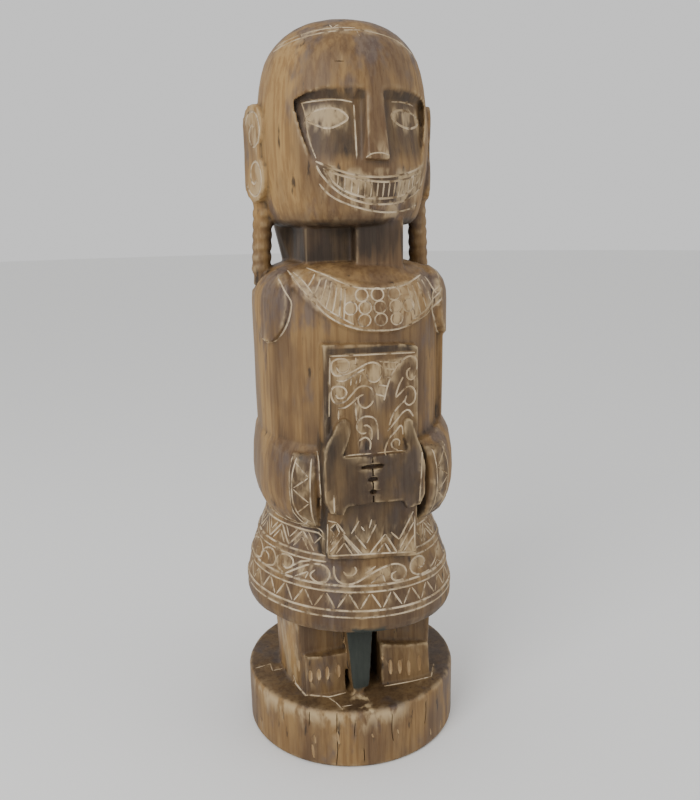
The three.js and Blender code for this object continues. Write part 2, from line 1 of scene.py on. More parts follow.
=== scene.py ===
# A carved tribal figure, a metre tall, cut whole from one section of tree trunk.
# The body is put together here as the carver frees it from the log, from the foot upwards, then smoothed
# by hand, and last of all the lines are cut into it and rubbed with lime. The figure looks along -Y.
import math

import bmesh
import bpy
import numpy as np
from mathutils import Matrix, Vector, noise
from mathutils.bvhtree import BVHTree


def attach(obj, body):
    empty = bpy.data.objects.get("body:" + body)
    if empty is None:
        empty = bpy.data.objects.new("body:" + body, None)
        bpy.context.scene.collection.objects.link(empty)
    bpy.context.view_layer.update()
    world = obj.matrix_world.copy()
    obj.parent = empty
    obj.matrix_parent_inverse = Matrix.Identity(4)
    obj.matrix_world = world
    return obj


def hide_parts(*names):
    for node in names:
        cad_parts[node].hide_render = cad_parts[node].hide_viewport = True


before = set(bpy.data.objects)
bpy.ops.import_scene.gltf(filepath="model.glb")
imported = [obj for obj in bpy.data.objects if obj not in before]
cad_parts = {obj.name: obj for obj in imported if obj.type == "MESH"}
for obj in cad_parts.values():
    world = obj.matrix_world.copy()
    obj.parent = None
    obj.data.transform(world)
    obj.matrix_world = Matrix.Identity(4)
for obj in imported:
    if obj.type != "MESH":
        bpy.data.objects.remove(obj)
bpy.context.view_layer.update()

# Drum base: the foot of the log itself, sawn flat below and trimmed round, with a worn rim.
# It is turned from its half profile, as every round form of the figure is here.
MM = 0.001  # lengths below are written in millimetres
BASE_RADIUS = 157
BASE_TOP = 88


def edit(obj):
    bpy.ops.object.select_all(action="DESELECT")
    bpy.context.view_layer.objects.active = obj
    obj.select_set(True)
    bpy.ops.object.mode_set(mode="EDIT")
    bpy.ops.mesh.select_all(action="SELECT")


def close_up(obj):
    edit(obj)
    bpy.ops.mesh.remove_doubles(threshold=0.01 * MM)
    bpy.ops.mesh.normals_make_consistent(inside=False)
    bpy.ops.object.mode_set(mode="OBJECT")
    return obj


def turned(name, profile, sides=96):
    bpy.ops.object.select_all(action="DESELECT")
    bpy.ops.mesh.primitive_plane_add(size=MM)
    obj = bpy.context.object
    obj.name = name
    edit(obj)
    bpy.ops.mesh.merge(type="CENTER")
    closed = [(0, profile[0][1])] + list(profile) + [(0, profile[-1][1])]
    bpy.ops.transform.translate(value=(0, 0, closed[0][1] * MM))
    for (r0, z0), (r1, z1) in zip(closed, closed[1:]):
        bpy.ops.mesh.extrude_vertices_move(
            TRANSFORM_OT_translate={"value": ((r1 - r0) * MM, 0, (z1 - z0) * MM)})
    bpy.ops.mesh.select_all(action="SELECT")
    bpy.ops.mesh.spin(steps=sides, angle=2 * math.pi, center=(0, 0, 0), axis=(0, 0, 1))
    bpy.ops.object.mode_set(mode="OBJECT")
    return close_up(obj)


base = turned("base", [(154, 0), (BASE_RADIUS, 3), (BASE_RADIUS, 83), (156, 86.5), (153, 88.4), (140, BASE_TOP)])

# Legs: one squared column under the skirt, freed from the log by a deep cut in front and a shallow one
# behind, so that both legs stand on the base.
LEG_FRONT = -80


def upright(name, plan, low, high):
    bpy.ops.object.select_all(action="DESELECT")
    bpy.ops.mesh.primitive_circle_add(vertices=len(plan), radius=0.1, fill_type="NGON")
    obj = bpy.context.object
    obj.name = name
    for vertex, (x, y) in zip(obj.data.vertices, plan):
        vertex.co = (x * MM, y * MM, low * MM)
    edit(obj)
    bpy.ops.mesh.extrude_region_move(TRANSFORM_OT_translate={"value": (0, 0, (high - low) * MM)})
    bpy.ops.object.mode_set(mode="OBJECT")
    return close_up(obj)


def reshape(obj, change):
    """Moves each vertex to where change, which works in millimetres, says."""
    for vertex in obj.data.vertices:
        vertex.co = Vector(change(*(vertex.co / MM))) * MM
    return obj


legs = upright("legs", [
    (-34, LEG_FRONT), (-98, LEG_FRONT - 1), (-111, -45), (-116, 0), (-112, 30), (-100, 60), (-80, 83), (-60, 97),
    (-30, 106), (-8, 107), (-4, 92), (6, 92), (10, 107), (40, 105), (62, 98), (88, 80), (106, 60), (119, 30),
    (123, 0), (116, -45), (101, LEG_FRONT), (19, LEG_FRONT), (19, -30), (-34, -30)], 80, 214)
reshape(legs, lambda x, y, z: (x * (1 - 0.05 * (214 - z) / 126), y, z))

# Feet: two blocks that stand out in front of the legs, each cut with a row of almond toenails.
# The right foot is the higher one, and its outer toe is broken away.
FOOT_FRONT = -101


def lower_side(obj, low, high, amount):
    reshape(obj, lambda x, y, z: (x, y, z if z < low else z - amount * (x - high) / 80))


foot_right = upright("foot_right", [(-34, FOOT_FRONT), (-68, FOOT_FRONT - 1), (-91, FOOT_FRONT + 5), (-99, -20),
                                    (-34, -20)], 80, 146)
reshape(foot_right, lambda x, y, z: (x, y + (6 if z > 100 and y < -50 else 0), z))
foot_left = upright("foot_left", [(20, FOOT_FRONT), (60, FOOT_FRONT - 1), (96, FOOT_FRONT + 5), (103, -20),
                                  (20, -20)], 80, 149)
reshape(foot_left, lambda x, y, z: (x, y + (8 if z > 100 and y < -50 else 0), z - (0.17 * (x - 20) if z > 100 else 0)))

# Loincloth end: a narrow tongue left standing between the legs, down to the base in front of the feet.
# Its tip widens to a small block that was never stained.


def fretted(name, outline, front, back):
    bpy.ops.object.select_all(action="DESELECT")
    bpy.ops.mesh.primitive_circle_add(vertices=len(outline), radius=0.1, fill_type="NGON")
    obj = bpy.context.object
    obj.name = name
    for vertex, (x, z) in zip(obj.data.vertices, outline):
        vertex.co = (x * MM, front * MM, z * MM)
    edit(obj)
    bpy.ops.mesh.extrude_region_move(TRANSFORM_OT_translate={"value": (0, (back - front) * MM, 0)})
    bpy.ops.object.mode_set(mode="OBJECT")
    return close_up(obj)


loincloth = fretted("loincloth", [(-35, 212), (10, 212), (4, 160), (-3, 101), (-11, 96), (-13, 84), (-26, 84),
                                  (-25, 96), (-28, 101), (-31, 160)], -97, -26)
reshape(loincloth, lambda x, y, z: (x, y - 0.16 * (210 - z) if y < -60 else y, z))

# Skirt: a flared drum whose hem overhangs the legs, ringed by four raised bands between the carved ones.
# It hangs a little lower on the left side.
SKIRT_PROFILE = [(112, 196), (140, 198.5), (150, 204), (153, 214), (152.4, 225), (150.4, 240), (146, 262), (142, 278),
                 (136.5, 294), (131, 310), (124.5, 326), (117.5, 345), (108, 380)]
RINGS = (232, 266, 302.5, 337.5)


def radius_at(profile, z):
    return float(np.interp(z, [height for _, height in profile], [radius for radius, _ in profile]))


def smooth_step(low, high, value):
    share = min(max((value - low) / (high - low), 0), 1)
    return share * share * (3 - 2 * share)


ringed = [p for p in SKIRT_PROFILE if all(abs(p[1] - ring) > 6 for ring in RINGS)]
for ring in RINGS:
    for step, raise_by in ((-5.2, 0), (-3.6, 1.6), (3.6, 1.6), (5.2, 0)):
        ringed.append((radius_at(SKIRT_PROFILE, ring + step) + raise_by, ring + step))
skirt = turned("skirt", sorted(ringed, key=lambda p: p[1]), 128)
reshape(skirt, lambda x, y, z: (x, y, z - 0.05 * x * smooth_step(385, 320, z)))

# Trunk: the log squared off a little in front and behind, with sloping shoulders.
TRUNK_PROFILE = [(112, 340), (117, 370), (120, 400), (124, 470), (125, 560), (125, 640), (124, 655), (120, 668),
                 (112, 679), (98, 689), (80, 695)]
TRUNK_DEPTH = 0.93
SQUARENESS = 2.6


def squaring(x, y, depth=1.0):
    reach = math.hypot(x, y)
    if reach < 1:
        return 1
    return (abs(x / reach) ** SQUARENESS + abs(y / reach / depth) ** SQUARENESS) ** (-1 / SQUARENESS)


def squared(obj, depth=1.0):
    return reshape(obj, lambda x, y, z: (x * squaring(x, y, depth), y * squaring(x, y, depth), z))


def swollen_trunk(name, more=0.0):
    return squared(turned(name, [(r + more, z) for r, z in TRUNK_PROFILE]), TRUNK_DEPTH)


def combine(body, other, how):
    bpy.ops.object.select_all(action="DESELECT")
    bpy.context.view_layer.objects.active = body
    cut = body.modifiers.new("combine", "BOOLEAN")
    cut.operation = how
    cut.solver = "MANIFOLD"
    cut.material_mode = "TRANSFER"
    cut.object = other
    bpy.ops.object.modifier_apply(modifier="combine")
    bpy.data.objects.remove(other, do_unlink=True)
    return body


trunk = swollen_trunk("trunk")

# Collar: a broad crescent on the chest, raised by a finger's thickness, with the studs of its pendant
# in three rows. The dark band above it runs round the foot of the neck.


def neckline(x):
    return 669 + 0.0035 * (x - 18) ** 2


def collar_edge(x):
    share = min(max((x - 8) / 110, -1), 1)
    return 609 + 90 * (1 - math.sqrt(1 - share ** 2)) - 0.09 * (x - 8)


across = [-94 + 204 * i / 24 for i in range(25)]
collar = fretted("collar", [(x, collar_edge(x)) for x in across]
                 + [(x, max(neckline(x), collar_edge(x) + 5)) for x in reversed(across)], -200, -20)
combine(collar, swollen_trunk("collar_form", 3.2), "INTERSECT")
STUDS = [(657, (-9, 12, 34.5)), (641, (-24, -5, 15, 36, 55)), (625, (-6, 16, 38))]

# Arms: the upper arm and its round shoulder boss lie along the flank. The forearm comes forward below the
# elbow in one bulging form to the wrist, where it wears a carved bracelet.
ARM_SWELL = {-1: 3.0, 1: 8.0}
ELBOW_RADIUS = {-1: 132.5, 1: 143.0}
FOREARM_SHARES = [(0.84, 343), (0.93, 354), (0.99, 370), (1.015, 388), (1.02, 405), (1.01, 424), (0.98, 442), (0.9, 458)]


def wedge(name, from_angle, to_angle, low, high):
    arc = [math.radians(from_angle + (to_angle - from_angle) * i / 6) for i in range(7)]
    return upright(name, [(0, 0)] + [(400 * math.sin(a), -400 * math.cos(a)) for a in arc], low, high)


def sector(side, near, far, low, high):
    return wedge("sector", *((near, far) if side > 0 else (-far, -near)), low, high)


def forearm_form(side, more):
    reach = ELBOW_RADIUS[side]
    form = squared(turned("forearm", [(share * reach + more, z) for share, z in FOREARM_SHARES]))

    def lifted(x, y, z):
        angle = abs(math.degrees(math.atan2(x, -y)))
        return x, y, z + 26 * smooth_step(31, 80, angle) * min(max((z - 405) / 50, 0), 1)

    return reshape(form, lifted)


BOSS = [(0, 594), (13, 598), (24, 607), (33, 620), (38, 636), (40, 652), (37, 668), (28, 680), (12, 687),
        (-12, 687), (-28, 680), (-37, 668), (-40, 652), (-38, 636), (-33, 620), (-24, 607), (-13, 598)]
arms = []
for side in (-1, 1):
    upper = combine(swollen_trunk("upper_arm", ARM_SWELL[side]), sector(side, 60, 118, 440, 655), "INTERSECT")
    boss = fretted("boss", BOSS, -300, -60)
    boss.data.transform(Matrix.Rotation(math.radians(64 * side), 4, "Z"))
    combine(boss, swollen_trunk("boss_form", ARM_SWELL[side] + 4.5), "INTERSECT")
    forearm = combine(forearm_form(side, 0), sector(side, 31, 116, 335, 500), "INTERSECT")
    bracelet = combine(forearm_form(side, 3.5), sector(side, 32, 46, 342, 452), "INTERSECT")
    arms += [upper, boss, forearm, bracelet]

# Board: a tall tablet held upright before the body, thicker towards its foot, with a sunk border inside
# its worn edge. It leans out from the chest at the bottom.
BOARD_LOW = 303
BOARD_HIGH = 596
BOARD_FRONT = -125


def lean_out(x, y, z):
    return x, y - 15 * (BOARD_HIGH - z) / (BOARD_HIGH - BOARD_LOW), z


board = fretted("board", [(-66.6, 313.4), (-20, 308), (58.4, 302.4), (62, 450), (65, 589), (40, 593), (-62, 597)],
                BOARD_FRONT, -60)
reshape(board, lambda x, y, z: lean_out(x * (1.07 if y > -90 else 1), y, z))
border = fretted("border", [(-58.4, 505), (-62, 440), (-60, 430), (-52, 440), (-50.5, 572), (-49, 575), (58, 575),
                            (60, 582), (-55, 584.5)], BOARD_FRONT - 40, BOARD_FRONT + 1.8)
reshape(border, lambda x, y, z: lean_out(x, y, z))
combine(board, border, "DIFFERENCE")

# Hands: laid on the board from both sides, thumbs up, the fingers square-cut and pointing to the middle,
# where those of the two hands meet.
THUMB = {-1: [(-67, 462), (-62, 474), (-55, 484), (-50, 495), (-44, 501), (-37, 502), (-31, 496), (-31, 485),
              (-36, 469), (-43, 453)],
         1: [(65, 456), (59, 470), (55, 483), (53, 493), (47, 497.5), (41.5, 494), (40, 484), (42, 469), (46, 452)]}
hands = []
for side in (-1, 1):
    palm, tip = 39 * side, 1.5 * side - 3.5
    fingers = []
    for i in range(4):
        top = 452 - 17.2 * i
        fingers += [(palm, top), (tip, top - 1.6), (tip, top - 13), (palm, top - 15.4)]
    outline = THUMB[side] + fingers + [(44 * side, 374), (62 * side, 378), (68.5 * side, 392), (70 * side, 430)]
    hands.append(reshape(fretted("hand", outline, BOARD_FRONT - 8.5, -90), lean_out))

# Neck: a flat-sided column, wider at the nape, with a fluted block standing on its front.
neck = upright("neck", [(-68, -62), (60, -62), (66, 15), (76, 38), (74, 60), (62, 78), (30, 90), (0, 93), (-30, 90),
                        (-62, 78), (-74, 60), (-76, 38), (-70, 15)], 684, 752)
reshape(neck, lambda x, y, z: (x * (1.2 if y > 30 and z > 744 else 1), y, z))
block = upright("block", [(-6, -50), (-6, -85), (58, -88), (58, -50)], 688, 752)
for i in range(6):
    x = -6 + 64 / 7 * (i + 1)
    flute = upright("flute", [(x - 2.6, -91), (x + 2.6, -91), (x + 0.9, -83.5), (x - 0.9, -83.5)], 680, 760)
    combine(block, flute, "DIFFERENCE")

# Ear rods: on each shoulder a rod of seven rings, one above another, stands up to carry the ear.
ROD_RADIUS = 13.5
rods = []
for side in (-1, 1):
    profile = [(10.5, 664)]
    for i in range(7):
        z = 679.5 + 14.5 * i
        profile += [(10.3, z), (12.4, z + 1.2), (ROD_RADIUS, z + 4), (ROD_RADIUS + 0.3, z + 7.2), (ROD_RADIUS, z + 10.5),
                    (12.4, z + 13.3)]
    rod = turned("rod", profile + [(10.5, 784)], 40)
    lean = (lambda x, y, z, side=side: (x + side * (109 + 6 * (784 - z) / 116), y + 6 + 6 * (784 - z) / 116, z))
    rods.append(reshape(rod, lean))

# Ears: a thick plate on each side, of two round lobes one above the other, straight along the back edge.
EAR_THICK = 22


def on_ear(side, u, z, depth):
    """A place on the ear plate: u runs back along the head, depth goes in from the outer face."""
    return (side * (115 + 0.266 * u - 0.964 * depth), -35 + 0.964 * u + 0.266 * depth, z)


def lobe(centre, radius, start, end, steps=14):
    angles = [math.radians(start + (end - start) * i / steps) for i in range(steps + 1)]
    return [(centre[0] + radius * math.cos(a), centre[1] + radius * math.sin(a)) for a in angles]


ears = []
for side in (-1, 1):
    outline = [(59, 838)] + lobe((31, 868), 29.5, 12, 232) + lobe((31, 805), 31, 128, 346)
    ear = fretted("ear", outline, 0, EAR_THICK)
    ears.append(close_up(reshape(ear, lambda x, y, z, side=side: on_ear(side, x, z, y))))

# Head: a tall round head turned a little to its left. The face is cut back under the brows and comes out
# level with the cheeks above the mouth, and the straight nose is left standing in the middle.
HEAD_TURN = 7
HEAD_PROFILE = [(86, 741), (94, 744), (100, 750), (104, 760), (107, 772), (110.5, 790), (114, 812), (115.3, 832),
                (115.5, 850), (115, 866), (113.5, 882), (111.8, 898), (109.3, 916), (105.5, 934), (101, 948),
                (95, 959), (87, 969), (77, 978.5), (65, 986.5), (50, 993), (32, 997.6), (14, 999.6)]
FACE_PROFILE = [(114.6, 810), (113.6, 818), (111.5, 832), (108.6, 850), (105.6, 872), (103, 891), (110.7, 908)]

head = turned("head", HEAD_PROFILE, 128)
face_turn = Matrix.Rotation(math.radians(HEAD_TURN), 4, "Z")
brow_side = [(17, 905), (25, 908), (44, 907.5), (62, 905), (78, 900), (90, 893), (88, 875), (84, 855), (79, 832),
             (73, 811)]
window = fretted("window", brow_side + [(-x, z) for x, z in reversed(brow_side)], -300, -20)
combine(window, turned("face_form", FACE_PROFILE, 128), "DIFFERENCE")
window.data.transform(face_turn)
combine(head, window, "DIFFERENCE")
nose = upright("nose", [(-20, -85), (-20, -104), (-17, -116), (-14, -123), (14, -123), (17, -116), (20, -104),
                        (20, -85)], 821, 916)
reshape(nose, lambda x, y, z: (x * (1 - 0.3 * (z - 821) / 95), y + (14 * (z - 821) / 95 if y < -95 else 0), z))
nose.data.transform(face_turn)
combine(head, nose, "UNION")

# The carving in one: the forms are joined, then worked over with knife and rasp, which rounds every edge
# and leaves the faces slightly uneven.
figure = base
for form in [legs, foot_right, foot_left, loincloth, skirt, trunk, collar, *arms, board, *hands, neck, block, *rods,
             *ears, head]:
    combine(figure, form, "UNION")
figure.name = "figure"


def finish(obj, name, kind, **values):
    bpy.ops.object.select_all(action="DESELECT")
    bpy.context.view_layer.objects.active = obj
    obj.select_set(True)
    step = obj.modifiers.new(name, kind)
    for key, value in values.items():
        setattr(step, key, value)
    bpy.ops.object.modifier_apply(modifier=name)


VOXEL = 2.2 * MM
finish(figure, "remesh", "REMESH", mode="VOXEL", voxel_size=VOXEL, adaptivity=0)
finish(figure, "worn", "SMOOTH", factor=0.5, iterations=4)
mesh = figure.data
places = np.empty(len(mesh.vertices) * 3)
mesh.vertices.foreach_get("co", places)
places = places.reshape(-1, 3)
facing = np.empty(len(mesh.vertices) * 3)
mesh.vertices.foreach_get("normal", facing)
facing = facing.reshape(-1, 3)
uneven = np.array([0.7 * noise.noise(Vector((x * 22, y * 22, z * 12)))
                   + 0.35 * noise.noise(Vector((x * 70, y * 70, z * 22))) for x, y, z in places])
uneven *= np.clip((places[:, 2] - 2 * MM) / (6 * MM), 0, 1)
places += facing * (uneven * MM)[:, None]
places[:, 2] = np.clip(places[:, 2], 0, 1000 * MM)
mesh.vertices.foreach_set("co", places.ravel())
mesh.update()
finish(figure, "thinned", "DECIMATE", ratio=0.16)
print("figure faces", len(figure.data.polygons))

# Carved lines: cut with a V tool along the surface, tapering where the tool enters and leaves the wood,
# and rubbed with lime that stays in the cut.
surface = BVHTree.FromObject(figure, bpy.context.evaluated_depsgraph_get())
strokes = []


def round_figure(angle, z):
    a = math.radians(angle)
    out = Vector((math.sin(a), -math.cos(a), 0))
    return Vector((0, 0, z * MM)) + out * 0.4, -out


def from_front(x, z):
    return Vector((x, -400, z)) * MM, Vector((0, 1, 0))


def from_above(x, y):
    return Vector((x, y, 100)) * MM, Vector((0, 0, -1))


def flowing(points, spacing, closed=False):
    """Points along a smooth curve through the given ones, about spacing apart."""
    points = [Vector(p) for p in points]
    count = len(points)
    path = []
    for i in range(count if closed else count - 1):
        if closed:
            p0, p1, p2, p3 = (points[(i + k - 1) % count] for k in range(4))
        else:
            p0, p1, p2, p3 = (points[min(max(i + k - 1, 0), count - 1)] for k in range(4))
        steps = max(1, round((p2 - p1).length / spacing))
        for k in range(steps):
            t = k / steps
            path.append(0.5 * (2 * p1 + (p2 - p0) * t + (2 * p0 - 5 * p1 + 4 * p2 - p3) * t * t
                               + (3 * p1 - p0 - 3 * p2 + p3) * t ** 3))
    return path if closed else path + [points[-1]]


def straight(points, spacing):
    points = [Vector(p) for p in points]
    path = []
    for p1, p2 in zip(points, points[1:]):
        steps = max(1, round((p2 - p1).length / spacing))
        path += [p1.lerp(p2, k / steps) for k in range(steps)]
    return path + [points[-1]]


def stroke(path, cast, width=3.0, closed=False, taper=True, stuff="lime"):
    """Lays a stroke of the tool along a path of surface coordinates."""
    places = []
    for u, v in path:
        hit, normal, _, _ = surface.ray_cast(*cast(u, v))
        if hit is not None:
            places.append((hit + normal * 0.25 * MM, width / 2 * MM))
    if len(places) < 3:
        return
    if taper and not closed:
        places[0] = (places[0][0], places[0][1] * 0.45)
        places[-1] = (places[-1][0], places[-1][1] * 0.45)
    strokes.append((places, closed, stuff))


# Skirt lines: two to each raised band, all the way round.
def skirt_skin(angle, z):
    lean = 0.05 * radius_at(SKIRT_PROFILE, z) * math.sin(math.radians(angle))
    return round_figure(angle, z - lean)


for z, width in ((227.5, 3.2), (236.5, 3.0), (262.0, 3.0), (270.0, 3.2), (298.5, 2.8), (306.5, 3.0), (333.8, 2.6),
                 (341.2, 2.8)):
    if z < 290:
        stroke([(angle, z) for angle in range(-180, 180, 3)], skirt_skin, width, closed=True)
    else:
        for way in (-1, 1):
            stroke([(way * angle, z) for angle in range(28, 183, 3)], skirt_skin, width)
# Lowest band: one row of points
TEETH = 30
for i in range(TEETH):
    foot = -180 + 360 / TEETH * i + 2
    stroke(straight([(foot + 0.6, 239.5), (foot + 5.6, 258.5)], 5), skirt_skin, 2.7)
    stroke(straight([(foot + 6.8, 258.5), (foot + 11.4, 239.5)], 5), skirt_skin, 2.7)
# Scroll band: running scrolls in facing pairs
SCROLL_LEFT = [[(-52.8, 271.5), (-45, 283), (-38, 291.5), (-31.5, 294), (-27.1, 289.5), (-25.8, 281), (-28, 272.5),
                (-32.1, 270.8), (-36, 275), (-36.6, 280.5), (-34.2, 286)],
               [(-49.3, 283.2), (-43.7, 292.5), (-37.4, 296.5)],
               [(-54.4, 272), (-59, 275.5), (-61.5, 283), (-60, 291.5), (-55.3, 295.8), (-50.6, 294.5), (-48.4, 289),
                (-49.5, 282.5), (-53.1, 278.5), (-56.2, 281), (-56.2, 286)]]
SCROLL_MIDDLE = [[(-23.6, 294), (-23.3, 284), (-20.9, 275), (-16.2, 271.8), (-10.6, 275), (-4.8, 282.6), (3.6, 290.5),
                  (12, 293.6), (17.8, 288), (18.8, 279), (16.3, 272.6), (11.4, 272.2), (8.9, 276.5), (9.6, 282), (12.4, 284)],
                 [(-11.8, 294.5), (-10.9, 289), (-13, 283.8), (-16.4, 283.2), (-18.1, 288)],
                 [(-6.3, 285.8), (0.3, 293.6)]]
SCROLL_RIGHT = [[(36.5, 272.5), (29, 271.3), (23.5, 276), (22, 284), (24, 291), (28.6, 295), (33.4, 292.5), (34.6, 286),
                 (31.4, 280.5), (27.6, 280.6)],
                [(38.1, 274.5), (43, 277.5), (49, 284), (55.5, 290), (62, 294)]]
POINTS_BAND = [[(-46.2, 272.2), (-38.6, 282)], [(-38.2, 281.6), (-39.6, 272.6)], [(-3.3, 272.6), (3.4, 282.6)],
               [(3.9, 282), (4.8, 273)], [(42.7, 272), (46.9, 277)], [(47.5, 277), (51, 272)]]
for turn in (0, 95, 180, 265):
    for path in SCROLL_LEFT + SCROLL_MIDDLE + SCROLL_RIGHT:
        near = [(angle + turn, z) for angle, z in path]
        if turn in (0, 180) or all(abs(angle) < 30 for angle, _ in path):
            stroke(flowing(near, 3.2), skirt_skin, 2.8)
    for path in POINTS_BAND:
        if turn in (0, 180):
            stroke(straight([(angle + turn, z) for angle, z in path], 4), skirt_skin, 2.4)
for side in (-1, 1):
    arc = [(68.5, 271.5), (63.4, 274.5), (61.8, 282.4), (64, 291), (68.2, 294.6), (74, 290.5), (77, 281), (76, 274.8)]
    stroke(flowing([(side * a, z) for a, z in arc], 3.2), skirt_skin, 2.8)
    stroke(flowing([(side * a, z) for a, z in [(76.4, 283), (72.9, 286.6), (69.4, 284.5), (68, 278.5)]], 3), skirt_skin, 2.6)
# Upper bands: nested points from the board round to the back
for side in (-1, 1):
    for i in range(8):
        foot = 36 + 18.4 * i
        for inset, width in ((0, 2.8), (3.6, 2.4)):
            low, high = 309.5, 331.5 - 2.3 * inset
            stroke(straight([(side * (foot + inset), low), (side * (foot + 9.2), high)], 4), skirt_skin, width)
            stroke(straight([(side * (foot + 9.8), high), (side * (foot + 18.4 - inset), low)], 4), skirt_skin, width)
        stroke(straight([(side * (foot - 4.6), 331.5), (side * (foot + 0.4), 319)], 4), skirt_skin, 2.2)
        stroke(straight([(side * (foot + 1), 319), (side * (foot + 5.2), 331.5)], 4), skirt_skin, 2.2)
    for i in range(9):
        foot = 58 + 14 * i
        stroke(straight([(side * foot, 344), (side * (foot + 6.6), 356)], 4), skirt_skin, 2.4)
        stroke(straight([(side * (foot + 7.4), 356), (side * (foot + 13.6), 344)], 4), skirt_skin, 2.4)
stroke(flowing([(-55.5, 357), (-52.1, 351), (-46, 346.3), (-40.5, 348.5), (-37.5, 357)], 3), skirt_skin, 2.4)

# Collar lines: the two edges, fans of rays on both sides, and the ringed studs of the pendant.
stroke(flowing([(-92, 687), (-84, 669), (-69, 649.5), (-54, 633.5), (-36, 622), (-11, 613.5), (8, 611.5), (38, 611),
                (67, 618.5), (91, 628.5), (110, 647)], 6), from_front, 2.8)
stroke(flowing([(-87, 685.5), (-78, 674), (-68, 657.5), (-55, 642), (-35, 629), (-20, 620.5)], 6), from_front, 2.2)
stroke(flowing([(60, 621.5), (83, 632), (99, 647), (110, 660)], 6), from_front, 2.2)
stroke(flowing([(-70, 690.5), (-49, 681.3), (-34, 673.7), (-15, 666.7), (9, 664), (27, 664), (50, 666.9), (80, 677.3)],
               6), from_front, 2.4)
RAYS = [((-33, 627.5), (-30, 665)), ((-39, 631), (-34.5, 667)), ((-47, 636), (-39.5, 670)), ((-55, 642), (-45.5, 674)),
        ((-62, 649.5), (-51, 677)), ((-68.5, 659), (-57, 680)), ((-75, 668), (-63, 683.5)), ((66, 624.5), (55, 664)),
        ((74.5, 628.5), (62.5, 666)), ((84, 635), (71.5, 669)), ((93, 643), (79.5, 671.5)), ((101, 653), (87, 675))]
for outer, inner in RAYS:
    stroke(straight([outer, inner], 5), from_front, 2.4)
for z, centres in STUDS:
    for x in centres:
        rim = [(x + 8.3 * math.cos(a), z + 8 * math.sin(a)) for a in np.linspace(0, 2 * math.pi, 17)[:-1]]
        stroke(rim, from_front, 2.3, closed=True)
# Shoulder boss edge, on both arms
for side in (-1, 1):
    boss = [(-61.1, 683), (-51, 668), (-46.2, 651), (-47.4, 630), (-52, 610), (-59, 596.5), (-68, 598), (-75.4, 607),
            (-80, 625), (-82.3, 645.8), (-80, 668)]
    stroke(flowing([(-side * a, z) for a, z in boss], 5), round_figure, 2.2, stuff="lime")

# Board lines: S scrolls on the left, hooked scrolls up the right, hatching between them, and nested
# points along the foot.
BOARD_LINES = [
    [(-46, 568), (-42.4, 562), (-33.7, 561.6), (-28.7, 569.7), (-33.3, 577), (-42.8, 578.5), (-51, 575), (-52.6, 567),
     (-48.3, 558), (-35.8, 558), (-22, 562.7), (-6.3, 570), (4.6, 571), (13.3, 565), (14, 555.5), (6.9, 546.4),
     (-2.9, 548), (-6.6, 557)],
    [(-48, 533), (-45.5, 528.4), (-37.7, 528.7), (-33.6, 535), (-38.2, 542), (-47.8, 543.7), (-53.4, 539.4),
     (-53.6, 530), (-48.6, 522), (-36.9, 523), (-26.9, 531.7), (-18.8, 539.7), (-9, 542), (-0.2, 537.4),
     (2.5, 527.6), (-0.7, 518), (-9.8, 513), (-17.5, 518.6), (-18.2, 527.3), (-11.3, 530.6)],
    [(-46.5, 551.5), (-38, 550), (-27, 554.5), (-14, 561.5), (-8.5, 563.5)],
    [(-46, 515.5), (-36, 515.8), (-25, 522.5), (-19.5, 528)],
    [(16.3, 520.7), (21.7, 539.6), (29, 556.4), (40.3, 570), (51.4, 576), (60.5, 573.4), (62.5, 563), (60, 551),
     (54, 545.5), (48.9, 549), (48.5, 557), (53.2, 561)],
    [(42.9, 549.7), (36.7, 538.5), (32.4, 524.3), (38.5, 528.7), (48.7, 536.7), (56, 535), (59.5, 527),
     (57.5, 516.5), (50.3, 512), (45, 516.8), (47.5, 525)],
    [(22.5, 487), (29.9, 504), (44.4, 518.6)],
    [(20.4, 479.5), (31.7, 492), (42, 503), (50.2, 505.4), (56.2, 496)],
    [(14.7, 450), (21, 467.6), (31.5, 478.5), (38.7, 485.8), (40.5, 474)],
    [(34, 453), (26.5, 457.3), (25.5, 464.3), (31.3, 468.2), (36.5, 465), (35.5, 458.5)],
    [(7, 469), (6.5, 488.5), (1.8, 498.7), (-10, 501.6), (-19, 496.5), (-21.3, 487), (-15.6, 479.7), (-8.7, 480)],
    [(-2, 469.7), (-1.6, 483.4), (-7.4, 489.7), (-12.4, 489.2)],
    [(-19, 470), (-10, 474), (-3.5, 467.5), (-4.5, 457)],
]
for path in BOARD_LINES:
    stroke(flowing(path, 2.8), from_front, 2.6)
